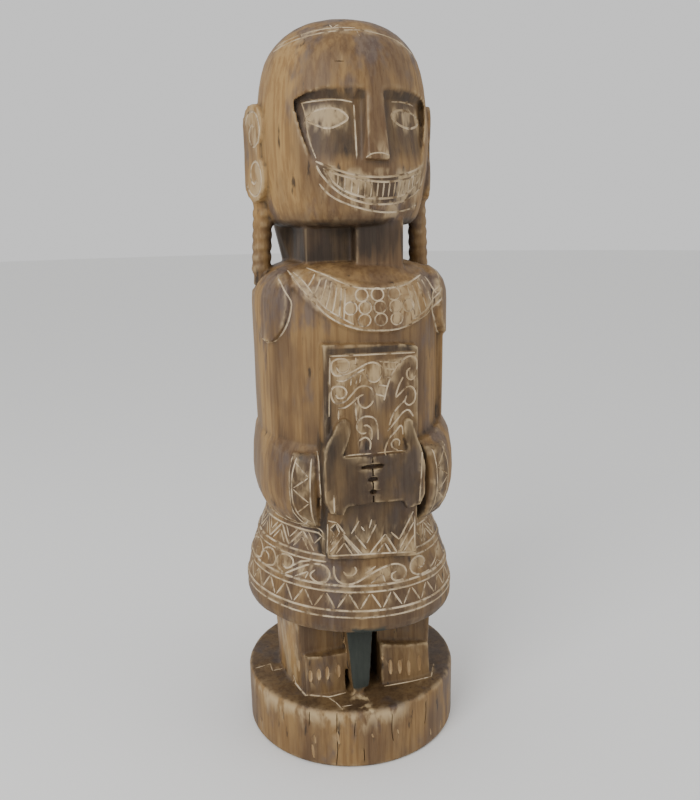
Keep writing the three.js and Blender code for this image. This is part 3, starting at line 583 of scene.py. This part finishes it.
BOARD_STRAIGHTS = [
    [(-53.4, 582.6), (60, 580.6)], [(-54, 580.5), (-57.6, 505)], [(-64, 318.5), (56.5, 309)],
    [(-19.7, 578.6), (-20.9, 570.5)], [(-8, 577.8), (-10, 572.4)], [(11.5, 571.8), (37, 569.2)],
    [(17, 562.6), (31, 560.7)], [(16.5, 551.6), (26.4, 550.3)], [(9.8, 541.5), (22, 538.9)],
    [(5, 530.3), (17, 526)], [(-14, 556), (-16, 546)], [(-19, 553), (-21, 544.5)], [(-27, 552), (-28, 543.5)],
    [(-22.5, 521), (-21.5, 497)], [(-15.5, 511), (-14, 506)], [(-37, 512), (-37, 505)], [(-45, 512.5), (-46, 499)],
    [(-57, 404), (-57, 380)],
    [(-64.5, 362), (-66.3, 321)], [(56, 360), (55.6, 313)],
    [(-54.6, 320.5), (-43.3, 333.8)], [(-42.7, 333.8), (-32.6, 317)], [(-62.5, 324), (-44.8, 343.2)],
    [(-44.2, 343), (-21.4, 314)], [(0.6, 312.5), (12.4, 326.7)], [(13, 326.7), (22.2, 310.5)],
    [(-9.6, 313), (13.6, 338.9)], [(14.4, 338.9), (30.4, 310.8)],
    [(-44.6, 346.5), (-17.5, 313.5)], [(31, 312), (54.5, 351)], [(39.5, 312), (54.8, 333)], [(22, 341), (33, 329.5)],
    [(33.6, 329.5), (54, 366)], [(-62, 336.5), (-56.4, 345.8)], [(-56, 346.2), (-61.5, 355)],
    [(-61, 356), (-54, 361.5)], [(-53.4, 361), (-49, 349)], [(-49.4, 348.4), (-60.5, 333.5)],
    [(-63.5, 366.5), (-52.5, 362.8)], [(-52, 362.2), (-41.4, 346)],
    [(-33, 345.6), (-22, 362)], [(-28, 343), (-13, 322)],
    [(-19.5, 354), (-15, 347.2)], [(-14.2, 347), (-8.6, 349.6)], [(-8.2, 350.2), (-4.6, 362)],
    [(-12, 330), (1.5, 354)],
]
for path in BOARD_STRAIGHTS:
    stroke(straight(path, 5), from_front, 2.5)

# Hand lines: the gaps between the fingers, cut and coloured near-black as painted shade, left unlimed, and the pale
# edge above them.
stroke(straight([(-42, 452.8), (-3, 452)], 5), from_front, 2.4)
stroke(straight([(5, 452), (43, 452.5)], 5), from_front, 2.0)
stroke(straight([(-3.4, 449), (-3.6, 384)], 6), from_front, 2.2, stuff="shadow")
for side, edge in ((-1, [(-70.3, 455), (-71, 420), (-69, 382)]), (1, [(65.2, 455), (63, 416), (59.5, 377)])):
    stroke(straight(edge, 6), from_front, 2.0)

# Bracelet lines: two edge lines, and a row of points between them, on both wrists.
for side in (-1, 1):
    stroke(flowing([(side * 45, 448), (side * 46.6, 430), (side * 47, 405), (side * 46, 380), (side * 42, 358),
                    (side * 38, 350)], 5), round_figure, 2.4)
    stroke(flowing([(side * 42.6, 447), (side * 44.2, 428), (side * 44.6, 404), (side * 43.8, 380), (side * 40, 361)],
                   5), round_figure, 2.4)
    stroke(straight([(side * 34.4, 447), (side * 34.4, 350)], 6), round_figure, 2.4)
    zigzag = [(43, 442), (35.6, 423), (43.6, 406), (35.6, 388), (42.4, 371), (35.8, 357)]
    for start, end in zip(zigzag, zigzag[1:]):
        stroke(straight([(side * start[0], start[1] - 1), (side * end[0], end[1] + 1)], 5), round_figure, 2.4)

# Face lines: round the eyes, the lips and the teeth, down the side of the nose, under the brows, along
# the jaw, and the double line of the cap round the crown.


def on_head(angle, z):
    return round_figure(angle + HEAD_TURN, z)


RIGHT_EYE = [(-46.5, 870), (-43.8, 875), (-40, 880), (-31.4, 883), (-23, 880), (-17.8, 871), (-22.1, 864.3), (-30.5, 859),
             (-39, 863.5)]
LEFT_EYE = [(14, 875.3), (20.9, 881.7), (31.6, 881.4), (43, 877), (48.6, 872), (44, 866.5), (37, 862.5), (28.6, 860.7),
            (18.8, 865.5)]
for eye in (RIGHT_EYE, LEFT_EYE):
    stroke(flowing(eye, 3, closed=True), on_head, 3.0, closed=True)
MOUTH = {
    "lip": [(-38.7, 820.5), (-31.3, 814.5), (-21.6, 807.5), (-10.7, 802.6), (2, 801), (15.2, 802.7), (30.1, 808.5),
            (46.4, 818)],
    "gum": [(-34, 812), (-25.5, 804.9), (-15.7, 799.9), (-5.4, 796.9), (6.9, 795.2), (21.2, 798), (33, 803), (43.5, 809.5)],
    "gum_low": [(-33.6, 809.5), (-30.6, 801.3), (-25.7, 791.8), (-19.8, 784.4), (-10.4, 778.2), (2, 775.2), (17.3, 777),
                (29.4, 783.9), (38.5, 795.4), (43.8, 806.5)],
    "lip_low": [(-38, 815.5), (-35.5, 805.3), (-27.8, 788.5), (-18.7, 777), (-8, 770.6), (3.7, 768.1), (19.8, 770.2),
                (34.6, 778), (45, 790), (49.5, 803)],
    "jaw": [(-37, 794), (-32.1, 782.8), (-24, 773), (-10, 763.9), (5.9, 758.7), (20.3, 758.7), (34, 762), (43, 767)],
}
for name, path in MOUTH.items():
    stroke(flowing(path, 5), on_head, 2.6 if name == "jaw" else 3.0)


def along(path, angle):
    return float(np.interp(angle, [a for a, _ in path], [z for _, z in path]))


for i in range(17):
    angle = -29.6 + 70.2 * i / 16
    low, high = along(MOUTH["gum_low"], angle) + 0.8, along(MOUTH["gum"], angle) - 0.8
    if high - low > 5:
        stroke(straight([(angle, low), (angle + 0.4, high)], 4), on_head, 2.3)
stroke(straight([(-12.9, 822), (-13.2, 855), (-13.6, 886)], 6), on_head, 2.4)
stroke(flowing([(-50.5, 890), (-42, 891.5), (-31.5, 892.6), (-22, 891.8), (-14.5, 889)], 5), on_head, 2.0)
stroke(flowing([(15, 891), (22, 891.8), (32, 891.4), (41, 889.5)], 5), on_head, 2.0)
stroke(flowing([(-50.5, 893), (-46.5, 874), (-44.8, 855), (-42, 839), (-38.4, 824)], 6), on_head, 1.8)
stroke(flowing([(-7.6, 823.6), (-5.5, 827.5), (-1, 829.2), (3.5, 828.6), (6.8, 825.6)], 2.5), on_head, 1.9)
stroke(flowing([(-84.5, 957.4), (-66.2, 964.2), (-47.5, 969.6), (-26.1, 973.4), (-4, 975), (17.7, 970.6), (33.8, 964),
                (43.7, 955.6), (60, 947), (76, 941)], 6), on_head, 2.6)
stroke(flowing([(-84.5, 963.5), (-66.2, 970), (-47.5, 975), (-30, 977.8), (-8, 977.9)], 6), on_head, 2.0)
for start, end in (((-57, 974), (-54.6, 969)), ((-32.5, 983), (-29, 978.4)), ((-23.5, 983), (-28, 978.6)),
                   ((-7.6, 974), (-6.6, 967))):
    stroke(straight([start, end], 3), on_head, 1.8)
stroke(straight([(-26, 935.5), (-19.8, 935)], 3), on_head, 1.5, stuff="shadow")

# Ear lines: a scroll on each lobe, winding inwards.
EAR_SCROLLS = [[(50, 872), (40, 885.5), (24, 887), (11, 879), (6, 864), (12, 849.5), (26, 844), (37, 851), (38, 863),
                (30, 870.5), (22.5, 867.5)],
               [(52, 797), (42, 786.5), (27, 781.5), (12, 787), (5.5, 801), (9, 816), (20, 825), (32, 822), (39, 811),
                (36, 800.5), (27, 797.5), (20.5, 802.5)]]
for side in (-1, 1):
    def on_ear_face(u, z, side=side):
        outer = Vector(on_ear(side, u, z, -60)) * MM
        return outer, (Vector(on_ear(side, u, z, 0)) * MM - outer).normalized()

    for path in EAR_SCROLLS:
        stroke(flowing(path, 2.6), on_ear_face, 3.4)

# Foot marks: a pale line cut round each foot on the base, the toenails, and marks on top of the base.
stroke(straight([(-104.7, -6.8), (-102.3, -56.4), (-92.8, -95), (-61.5, -107), (-36, -104)], 6), from_above, 2.6)
stroke(straight([(22, -104.5), (63.8, -105), (96.5, -100.5), (112, -70)], 6), from_above, 2.2)
stroke(straight([(-62, -109), (-55, -123.1), (-50.5, -142.2)], 5), from_above, 2.0)
stroke(straight([(-49.5, -134.3), (-34.7, -134.6)], 4), from_above, 1.8)
stroke(straight([(-150.5, -3.6), (-127, 2), (-127, -16.9), (-111, -15.8)], 4), from_above, 2.0)
TOENAILS = [(-84.9, 109, 126), (-73.1, 111, 128), (-60.9, 110.5, 130), (-44.4, 111, 130), (34, 101.5, 123.6),
            (48.2, 100.3, 121), (61.9, 95.5, 118.5), (79.2, 98.3, 121.5)]
for x, low, high in TOENAILS:
    stroke([(x, low), (x, low * 0.72 + high * 0.28), (x, (low + high) / 2), (x, low * 0.25 + high * 0.75), (x, high)],
           from_front, 6.0, stuff="bare")
for x, low, high in ((-97, 114, 134), (-31.5, 146, 165), (22.5, 125, 131)):
    stroke([(x, low), (x, (low + high) / 2), (x, high)], from_front, 5.0, stuff="bare")

# Cracks and chips: the log has split along its grain as it dried, and the cracks are coloured near-black as painted
# shade inside them;
# the stain is knocked off the base and the rim in places.
CRACKS = [((-22.4, 86), (-22.6, 57), (-22.4, 29), (-23.2, 3)), ((-36.9, 83), (-37.2, 61)),
          ((6.2, 78), (6, 49), (6.8, 34)), ((27.7, 76), (27.8, 57), (26.7, 39)), ((-13.2, 76), (-13.7, 51)),
          ((-8.9, 31), (-8.6, 9)), ((62, 80), (61, 40), (63, 12)), ((118, 86), (117, 40), (119, 6)),
          ((166, 86), (165, 50), (167, 20)), ((-98, 84), (-99, 40), (-97, 10)), ((-146, 86), (-145, 55), (-147, 30))]
for crack in CRACKS:
    stroke(flowing(crack, 6), round_figure, 1.4, stuff="shadow")
CHIPS = [(-34.2, 41, 13, 4.5), (-35.4, 21, 21, 6), (-22, 47, 19, 5), (-4.3, 49.4, 6, 4), (-74.4, 18, 24, 4.5),
         (32, 20, 12, 3), (42.5, 16, 14, 3), (9.6, 47, 8, 2.5), (95, 60, 12, 4), (150, 34, 18, 5), (-128, 52, 15, 4)]
for angle, z, tall, wide in CHIPS:
    stroke([(angle + 0.4, z - tall / 2), (angle, z - tall / 5), (angle - 0.2, z + tall / 5), (angle - 0.5, z + tall / 2)],
           round_figure, wide * 0.7, stuff="bare")

LIME = (0.60, 0.50, 0.36, 1)
BROWN = (0.115, 0.066, 0.032, 1)


def node(tree, kind, inputs=None, **settings):
    new = tree.nodes.new(kind)
    for key, value in settings.items():
        setattr(new, key, value)
    for key, value in (inputs or {}).items():
        if isinstance(value, bpy.types.NodeSocket):
            tree.links.new(value, new.inputs[key])
        else:
            new.inputs[key].default_value = value
    return new


def material(name, roughness=0.6, specular=0.3):
    made = bpy.data.materials.new(name)
    made.use_nodes = True
    shader = made.node_tree.nodes["Principled BSDF"]
    shader.inputs["Roughness"].default_value = roughness
    shader.inputs["Specular IOR Level"].default_value = specular
    return made, made.node_tree, shader


def speckle(tree, scale, stretch=(1, 1, 1), detail=3.0, offset=0.0, roughness=0.55):
    where = node(tree, "ShaderNodeTexCoord").outputs["Object"]
    spread = node(tree, "ShaderNodeMapping", {0: where, "Scale": stretch, "Location": (offset, offset, offset)})
    return node(tree, "ShaderNodeTexNoise", {"Vector": spread.outputs[0], "Scale": scale, "Detail": detail,
                                             "Roughness": roughness}).outputs["Fac"]


def ramp(tree, value, low, high, from_value=0.0, to_value=1.0):
    return node(tree, "ShaderNodeMapRange", {"Value": value, "From Min": low, "From Max": high,
                                             "To Min": from_value, "To Max": to_value},
                interpolation_type="SMOOTHSTEP").outputs[0]


def blend(tree, amount, first, second, how="MIX"):
    mixed = node(tree, "ShaderNodeMix", {0: amount, 6: first, 7: second}, data_type="RGBA", blend_type=how)
    return mixed.outputs[2]


def maths(tree, how, first, second=0.0):
    return node(tree, "ShaderNodeMath", {0: first, 1: second}, operation=how, use_clamp=True).outputs[0]


limed, tree, shader = material("limed cut", 0.85, 0.1)
lost = ramp(tree, speckle(tree, 95, (1, 1, 0.6), 4), 0.50, 0.66)
tint = blend(tree, ramp(tree, speckle(tree, 30), 0.35, 0.7), LIME, (0.40, 0.30, 0.18, 1))
tree.links.new(blend(tree, maths(tree, "MULTIPLY", lost, 0.75), tint, BROWN), shader.inputs["Base Color"])
dust = node(tree, "ShaderNodeBump", {"Height": speckle(tree, 420), "Strength": 0.25, "Distance": 0.0006})
tree.links.new(dust.outputs[0], shader.inputs["Normal"])

# Near-black painted shade for the depth of the cracks and of the cuts between the fingers.
shadow, tree, shader = material("painted shade in cuts", 0.95, 0.05)
tree.links.new(blend(tree, speckle(tree, 60), (0.010, 0.007, 0.004, 1), (0.035, 0.022, 0.012, 1)),
               shader.inputs["Base Color"])

bare, tree, shader = material("bare wood", 0.75, 0.2)
streak = ramp(tree, speckle(tree, 190, (1, 1, 0.08), 4), 0.35, 0.65)
tree.links.new(blend(tree, streak, (0.50, 0.36, 0.20, 1), (0.30, 0.19, 0.09, 1)), shader.inputs["Base Color"])
torn = node(tree, "ShaderNodeBump", {"Height": streak, "Strength": 0.4, "Distance": 0.0008})
tree.links.new(torn.outputs[0], shader.inputs["Normal"])

groups = []
for places, closed, stuff in strokes:
    points = np.array([place for place, _ in places])
    reach = max(width for _, width in places)
    low, high = points.min(axis=0) - 6 * MM, points.max(axis=0) + 6 * MM
    for group in groups:
        clear = group["stuff"] == stuff
        for other_low, other_high, other in group["taken"] if clear else ():
            if (low < other_high).all() and (high > other_low).all():
                gaps = np.linalg.norm(points[:, None] - other[None], axis=2)
                if gaps.min() < 2 * reach + 3.2 * MM:
                    clear = False
                    break
        if clear:
            break
    else:
        group = {"stuff": stuff, "taken": [], "strokes": []}
        groups.append(group)
    group["taken"].append((low, high, points))
    group["strokes"].append((places, closed))

STUFFS = {"lime": limed, "shadow": shadow, "bare": bare}
stained = bpy.data.materials.new("stained wood")
figure.data.materials.clear()
figure.data.materials.append(stained)
for group in groups:
    tool = bpy.data.curves.new("tool", "CURVE")
    tool.dimensions = "3D"
    tool.bevel_depth = MM
    tool.bevel_resolution = 1
    tool.use_fill_caps = True
    for places, closed in group["strokes"]:
        spline = tool.splines.new("POLY")
        spline.points.add(len(places) - 1)
        spline.use_cyclic_u = closed
        for point, (place, width) in zip(spline.points, places):
            point.co = (*place, 1)
            point.radius = width / MM
    cutter = bpy.data.objects.new("cutter", tool)
    bpy.context.collection.objects.link(cutter)
    bpy.ops.object.select_all(action="DESELECT")
    bpy.context.view_layer.objects.active = cutter
    cutter.select_set(True)
    bpy.ops.object.convert(target="MESH")
    cutter = close_up(bpy.context.object)
    cutter.data.materials.clear()
    cutter.data.materials.append(STUFFS[group["stuff"]])
    before = len(figure.data.polygons)
    combine(figure, cutter, "DIFFERENCE")
    print("cut", group["stuff"], len(group["strokes"]), before, len(figure.data.polygons))

# Stain, wear, painted shade and painted light: where the finish is dark, pale or rubbed is kept on the mesh. The dark
# stain lies in the face, on the neck, hands and board, and the ochre wood shows on the sides; painted shade darkens the
# hollows, the faces under the head, brows and hem, the board's sides and the gap between the legs, and painted light
# makes the lamp's side of the head and legs paler.
mesh = figure.data
count = len(mesh.vertices)
spots = np.empty(count * 3)
mesh.vertices.foreach_get("co", spots)
x, y, z = (spots.reshape(-1, 3) / MM).T
normals = np.empty(count * 3)
mesh.vertices.foreach_get("normal", normals)
nx, ny, nz = normals.reshape(-1, 3).T
edges = np.empty(len(mesh.edges) * 2, dtype=np.int64)
mesh.edges.foreach_get("vertices", edges)
a, b = edges.reshape(-1, 2).T
apart = np.stack([x[b] - x[a], y[b] - y[a], z[b] - z[a]])
length = np.maximum(np.linalg.norm(apart, axis=0), 0.3)
bend_a = -(apart * np.stack([nx[a], ny[a], nz[a]])).sum(axis=0) / length
bend_b = (apart * np.stack([nx[b], ny[b], nz[b]])).sum(axis=0) / length
curved = np.bincount(a, bend_a, count) + np.bincount(b, bend_b, count)
near = np.bincount(a, minlength=count) + np.bincount(b, minlength=count)
curved /= np.maximum(near, 1)
for _ in range(2):
    spread = (np.bincount(a, curved[b], count) + np.bincount(b, curved[a], count)) / np.maximum(near, 1)
    curved = 0.5 * curved + 0.5 * spread


def soft(value, low, high):
    share = np.clip((value - low) / (high - low), 0, 1)
    return share * share * (3 - 2 * share)


def between(value, low, high, fade):
    return soft(value, low - fade, low + fade) * (1 - soft(value, high - fade, high + fade))


across_angle = np.degrees(np.arctan2(x, -y))
radius = np.hypot(x, y)
rod_away = np.minimum(np.hypot(x - 109 - 6 * (784 - z) / 116, y - 6 - 6 * (784 - z) / 116),
                      np.hypot(x + 109 + 6 * (784 - z) / 116, y - 6 - 6 * (784 - z) / 116))
face_angle = across_angle - HEAD_TURN
head_radius = np.interp(z, [h for _, h in HEAD_PROFILE], [r for r, _ in HEAD_PROFILE])
sunk = soft(head_radius - radius, 0.6, 3.0) * between(z, 813, 909, 2) * between(face_angle, -60, 60, 3)
lip = np.interp(face_angle, [p for p, _ in MOUTH["lip"]], [h for _, h in MOUTH["lip"]])
lip_low = np.interp(face_angle, [p for p, _ in MOUTH["lip_low"]], [h for _, h in MOUTH["lip_low"]])
in_mouth = between(face_angle, -38, 48, 1.5) * soft(z, 0, 1) * (z < lip) * (z > lip_low) * (y < 0)
board_plane = BOARD_FRONT - 15 * (BOARD_HIGH - z) / (BOARD_HIGH - BOARD_LOW)
on_board = between(x, -67, 66, 0.6) * between(z, 302, 598, 0.6) * (y < board_plane + 4)
raised = soft(board_plane - y, 3, 6) * on_board
elbow = np.where(x < 0, ELBOW_RADIUS[-1], ELBOW_RADIUS[1])
wrist = between(np.abs(across_angle), 32, 46.5, 0.6) * between(z, 343, 452, 3) * (y < -60) * (radius > 120)
wrist *= 1 - soft(-y, 115, 119) * between(x, -67, 66, 1)
dark = np.zeros(count)


def darker(where, amount):
    global dark
    dark = np.maximum(dark, where * amount)


darker(between(z, 697, 748, 2) * (radius < 104) * soft(rod_away, 15, 18), 0.95)
# Painted shade under the head: faces turned downwards at the top of the neck are darkened.
darker(soft(-nz, 0.2, 0.7) * between(z, 738, 770, 3), 0.7)
darker(sunk, 0.62)
# Painted shade under the brows: the top of the face recess is darkened.
darker(sunk * soft(z, 888, 895), 0.9)
darker(sunk * between(face_angle, -30, -12, 5), 0.85)
darker(in_mouth, 0.6)
darker(on_board, 0.42)
darker(on_board * np.maximum(between(z, 583, 592, 1) * (x > -60), (1 - soft(x, -55 + 0, -52)) * (z > 440)), 0.95)
darker(on_board * (1 - soft(z, 310, 314)), 0.6)
darker(on_board * between(z, 330, 452, 8) * between(x, -45, 45, 4), 0.75)
darker(raised, 0.78)
# Painted shade on the side faces of the board and hands.
darker(between(z, 300, 470, 2) * (np.abs(nx) > 0.6) * (np.abs(x) < 76) * (y < -78), 0.95)
darker(wrist, 0.62)
darker(between(z, 196, 345, 4) * between(across_angle, -24, 22, 6), 0.4)
darker(between(z, 196, 345, 4), 0.25)
# Painted shade on the underside of the skirt's hem.
darker(between(z, 190, 204, 3) * (nz < -0.3), 0.9)
darker((y < -60) * between(z, 88, 214, 2) * between(x, -100, 102, 2), 0.38)
# Painted shade in the deep gap between the legs, behind the loincloth.
darker(between(x, -33, 19, 2) * between(z, 90, 214, 2) * (y > -85) * (y < 0), 0.9)
darker((z > 86.5) * (z < 96) * (nz > 0.6), 0.6)
darker(1 - soft(z, 0, 6), 0.6)
# Painted shade in hollows and creases, from the mesh's concavity.
darker(np.clip(-curved * 7, 0, 1), 0.85)
strip = between(x, -37, 12, 0.8) * (y < -90) * between(z, 98.5, 211, 1.5) * soft(-(y + 0.16 * (210 - z)), 93, 96)
strip *= 1 - soft(np.abs(x + 14), 24, 30)

pale = np.clip((curved - 0.03) * 9, 0, 1) * 0.75
pale = np.maximum(pale, between(z, 68, 86, 5) * between(across_angle, -82, 14, 8) * (radius > 150) * 0.9)
# Painted light: the outer faces of the legs and feet on the lamp's side are made paler.
pale = np.maximum(pale, (x < -96) * (y < -20) * between(z, 92, 200, 6) * 0.5)
pale = np.maximum(pale, between(z, 84, 98.5, 1) * between(x, -30, -9, 1) * (y < -108))
# Painted light on the lamp's side: the head's right flank and the legs' outer faces get more ochre; the head's and
# arms' flanks below have the wood's own ochre.
ochre = between(across_angle, -125, -42, 14) * between(z, 752, 965, 18) * (1 - sunk) * 0.75
ochre = np.maximum(ochre, (np.abs(nx) > 0.55) * (x < -90) * between(z, 90, 200, 6) * 0.9)
ochre = np.maximum(ochre, (np.abs(x) > 112) * between(z, 772, 900, 3) * 0.55)
ochre = np.maximum(ochre, between(np.abs(across_angle), 60, 118, 6) * between(z, 345, 650, 16) * 0.4)
for name, values in (("dark", dark), ("pale", pale), ("ochre", ochre), ("strip", strip)):
    layer = mesh.attributes.new(name, "FLOAT", "POINT")
    layer.data.foreach_set("value", values.astype(np.float32))


def layer_of(tree, name):
    return node(tree, "ShaderNodeAttribute", attribute_name=name).outputs["Fac"]


stained.use_nodes = True
tree = stained.node_tree
shader = tree.nodes["Principled BSDF"]
shader.inputs["Specular IOR Level"].default_value = 0.32
OCHRE = (0.33, 0.20, 0.075, 1)
UMBER = (0.135, 0.078, 0.035, 1)
VIOLET_GREY = (0.105, 0.080, 0.072, 1)
BLACK_BROWN = (0.030, 0.020, 0.013, 1)
blotch = ramp(tree, speckle(tree, 17, (1, 1, 0.33), 4, 0.3), 0.40, 0.62)
colour = blend(tree, maths(tree, "ADD", maths(tree, "MULTIPLY", blotch, 0.62), maths(tree, "MULTIPLY",
               layer_of(tree, "ochre"), ramp(tree, speckle(tree, 26, (1, 1, 0.4), 3, 5.1), 0.3, 0.6, 0.35, 0.9))),
               UMBER, OCHRE)
grey = ramp(tree, speckle(tree, 21, (1, 1, 0.45), 4, 2.7), 0.53, 0.66)
colour = blend(tree, maths(tree, "MULTIPLY", grey, 0.75), colour, VIOLET_GREY)
# The dark attribute carries both the stain and the painted shade; both are laid on as black-brown.
stain_and_shade = maths(tree, "MULTIPLY", layer_of(tree, "dark"), ramp(tree, speckle(tree, 34, (1, 1, 0.5), 4, 8.4), 0.3, 0.6, 0.72, 1.0))
colour = blend(tree, stain_and_shade, colour, BLACK_BROWN)
grain = speckle(tree, 170, (1, 1, 0.045), 5, 0.9, 0.65)
colour = blend(tree, ramp(tree, grain, 0.42, 0.62, 0.0, 0.55), colour, (0.55, 0.45, 0.38, 1), "MULTIPLY")
fleck = ramp(tree, speckle(tree, 75, (1, 1, 0.22), 4, 3.3), 0.64, 0.72)
colour = blend(tree, maths(tree, "MULTIPLY", fleck, 0.8), colour, (0.02, 0.014, 0.01, 1))
# Paler where edges and rim are worn, and painted light on the lamp's side of the legs.
rubbed_and_lit = maths(tree, "MULTIPLY", layer_of(tree, "pale"), ramp(tree, speckle(tree, 55, (1, 1, 0.4), 4, 6.2), 0.42, 0.58))
colour = blend(tree, rubbed_and_lit, colour, (0.45, 0.33, 0.18, 1))
colour = blend(tree, layer_of(tree, "strip"), colour, blend(tree, grain, (0.012, 0.016, 0.013, 1), (0.04, 0.045, 0.036, 1)))
tree.links.new(colour, shader.inputs["Base Color"])
tree.links.new(ramp(tree, blotch, 0, 1, 0.50, 0.66), shader.inputs["Roughness"])
relief = maths(tree, "ADD", maths(tree, "MULTIPLY", grain, 0.6), maths(tree, "MULTIPLY", speckle(tree, 60, (1, 1, 0.4)), 0.4))
rasped = node(tree, "ShaderNodeBump", {"Height": relief, "Strength": 0.5, "Distance": 0.0012})
tree.links.new(rasped.outputs[0], shader.inputs["Normal"])

edit(figure)
bpy.ops.mesh.select_all(action="SELECT")
bpy.ops.object.mode_set(mode="OBJECT")
bpy.ops.object.shade_smooth_by_angle(angle=math.radians(38))
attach(figure, "root")
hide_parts("carved_figure")
figure.data.validate()
print("figure triangles", sum(len(p.vertices) - 2 for p in figure.data.polygons))

# Studio: a plain pale floor under a white sky, a broad soft light from the upper left in front and a
# weaker one from the right.
bpy.ops.object.select_all(action="DESELECT")
bpy.ops.mesh.primitive_circle_add(vertices=96, radius=14, fill_type="NGON")
floor = bpy.context.object
floor.name = "floor"
pale_floor, tree, shader = material("pale floor", 0.9, 0.1)
shader.inputs["Base Color"].default_value = (0.86, 0.86, 0.85, 1)
floor.data.materials.append(pale_floor)

sky = bpy.data.worlds.new("white sky")
bpy.context.scene.world = sky
sky.use_nodes = True
sky.node_tree.nodes["Background"].inputs["Color"].default_value = (1, 1, 1, 1)
sky.node_tree.nodes["Background"].inputs["Strength"].default_value = 0.85


def soft_light(name, place, size, watts):
    lamp = bpy.data.lights.new(name, "AREA")
    lamp.shape = "SQUARE"
    lamp.size = size
    lamp.energy = watts
    held = bpy.data.objects.new(name, lamp)
    bpy.context.collection.objects.link(held)
    held.location = place
    held.rotation_mode = "QUATERNION"
    held.rotation_quaternion = (Vector((0, 0, 0.55)) - Vector(place)).to_track_quat("-Z", "Y")


soft_light("key", (-1.7, -1.6, 2.0), 1.3, 42)
soft_light("fill", (2.0, -1.4, 1.2), 1.6, 10)

# Camera at the photograph's place, a little above the head's height and tilted down.
YAW, PITCH, ROLL = math.radians(-15), 0.233, -0.017
forward = Vector((-math.sin(YAW) * math.cos(PITCH), math.cos(YAW) * math.cos(PITCH), -math.sin(PITCH)))
level = Vector((math.cos(YAW), math.sin(YAW), 0))
upward = level.cross(forward)
right = math.cos(ROLL) * level + math.sin(ROLL) * upward
above = math.cos(ROLL) * upward - math.sin(ROLL) * level
lens = bpy.data.cameras.new("camera")
lens.lens = 36
lens.sensor_width = 36
lens.shift_x = 0.00475
camera = bpy.data.objects.new("camera", lens)
bpy.context.collection.objects.link(camera)
pose = Matrix((right, above, -forward)).transposed().to_4x4()
pose.translation = Vector((1.1297 * math.sin(YAW), -1.1297 * math.cos(YAW), 0.7617))
camera.matrix_world = pose
bpy.context.scene.camera = camera
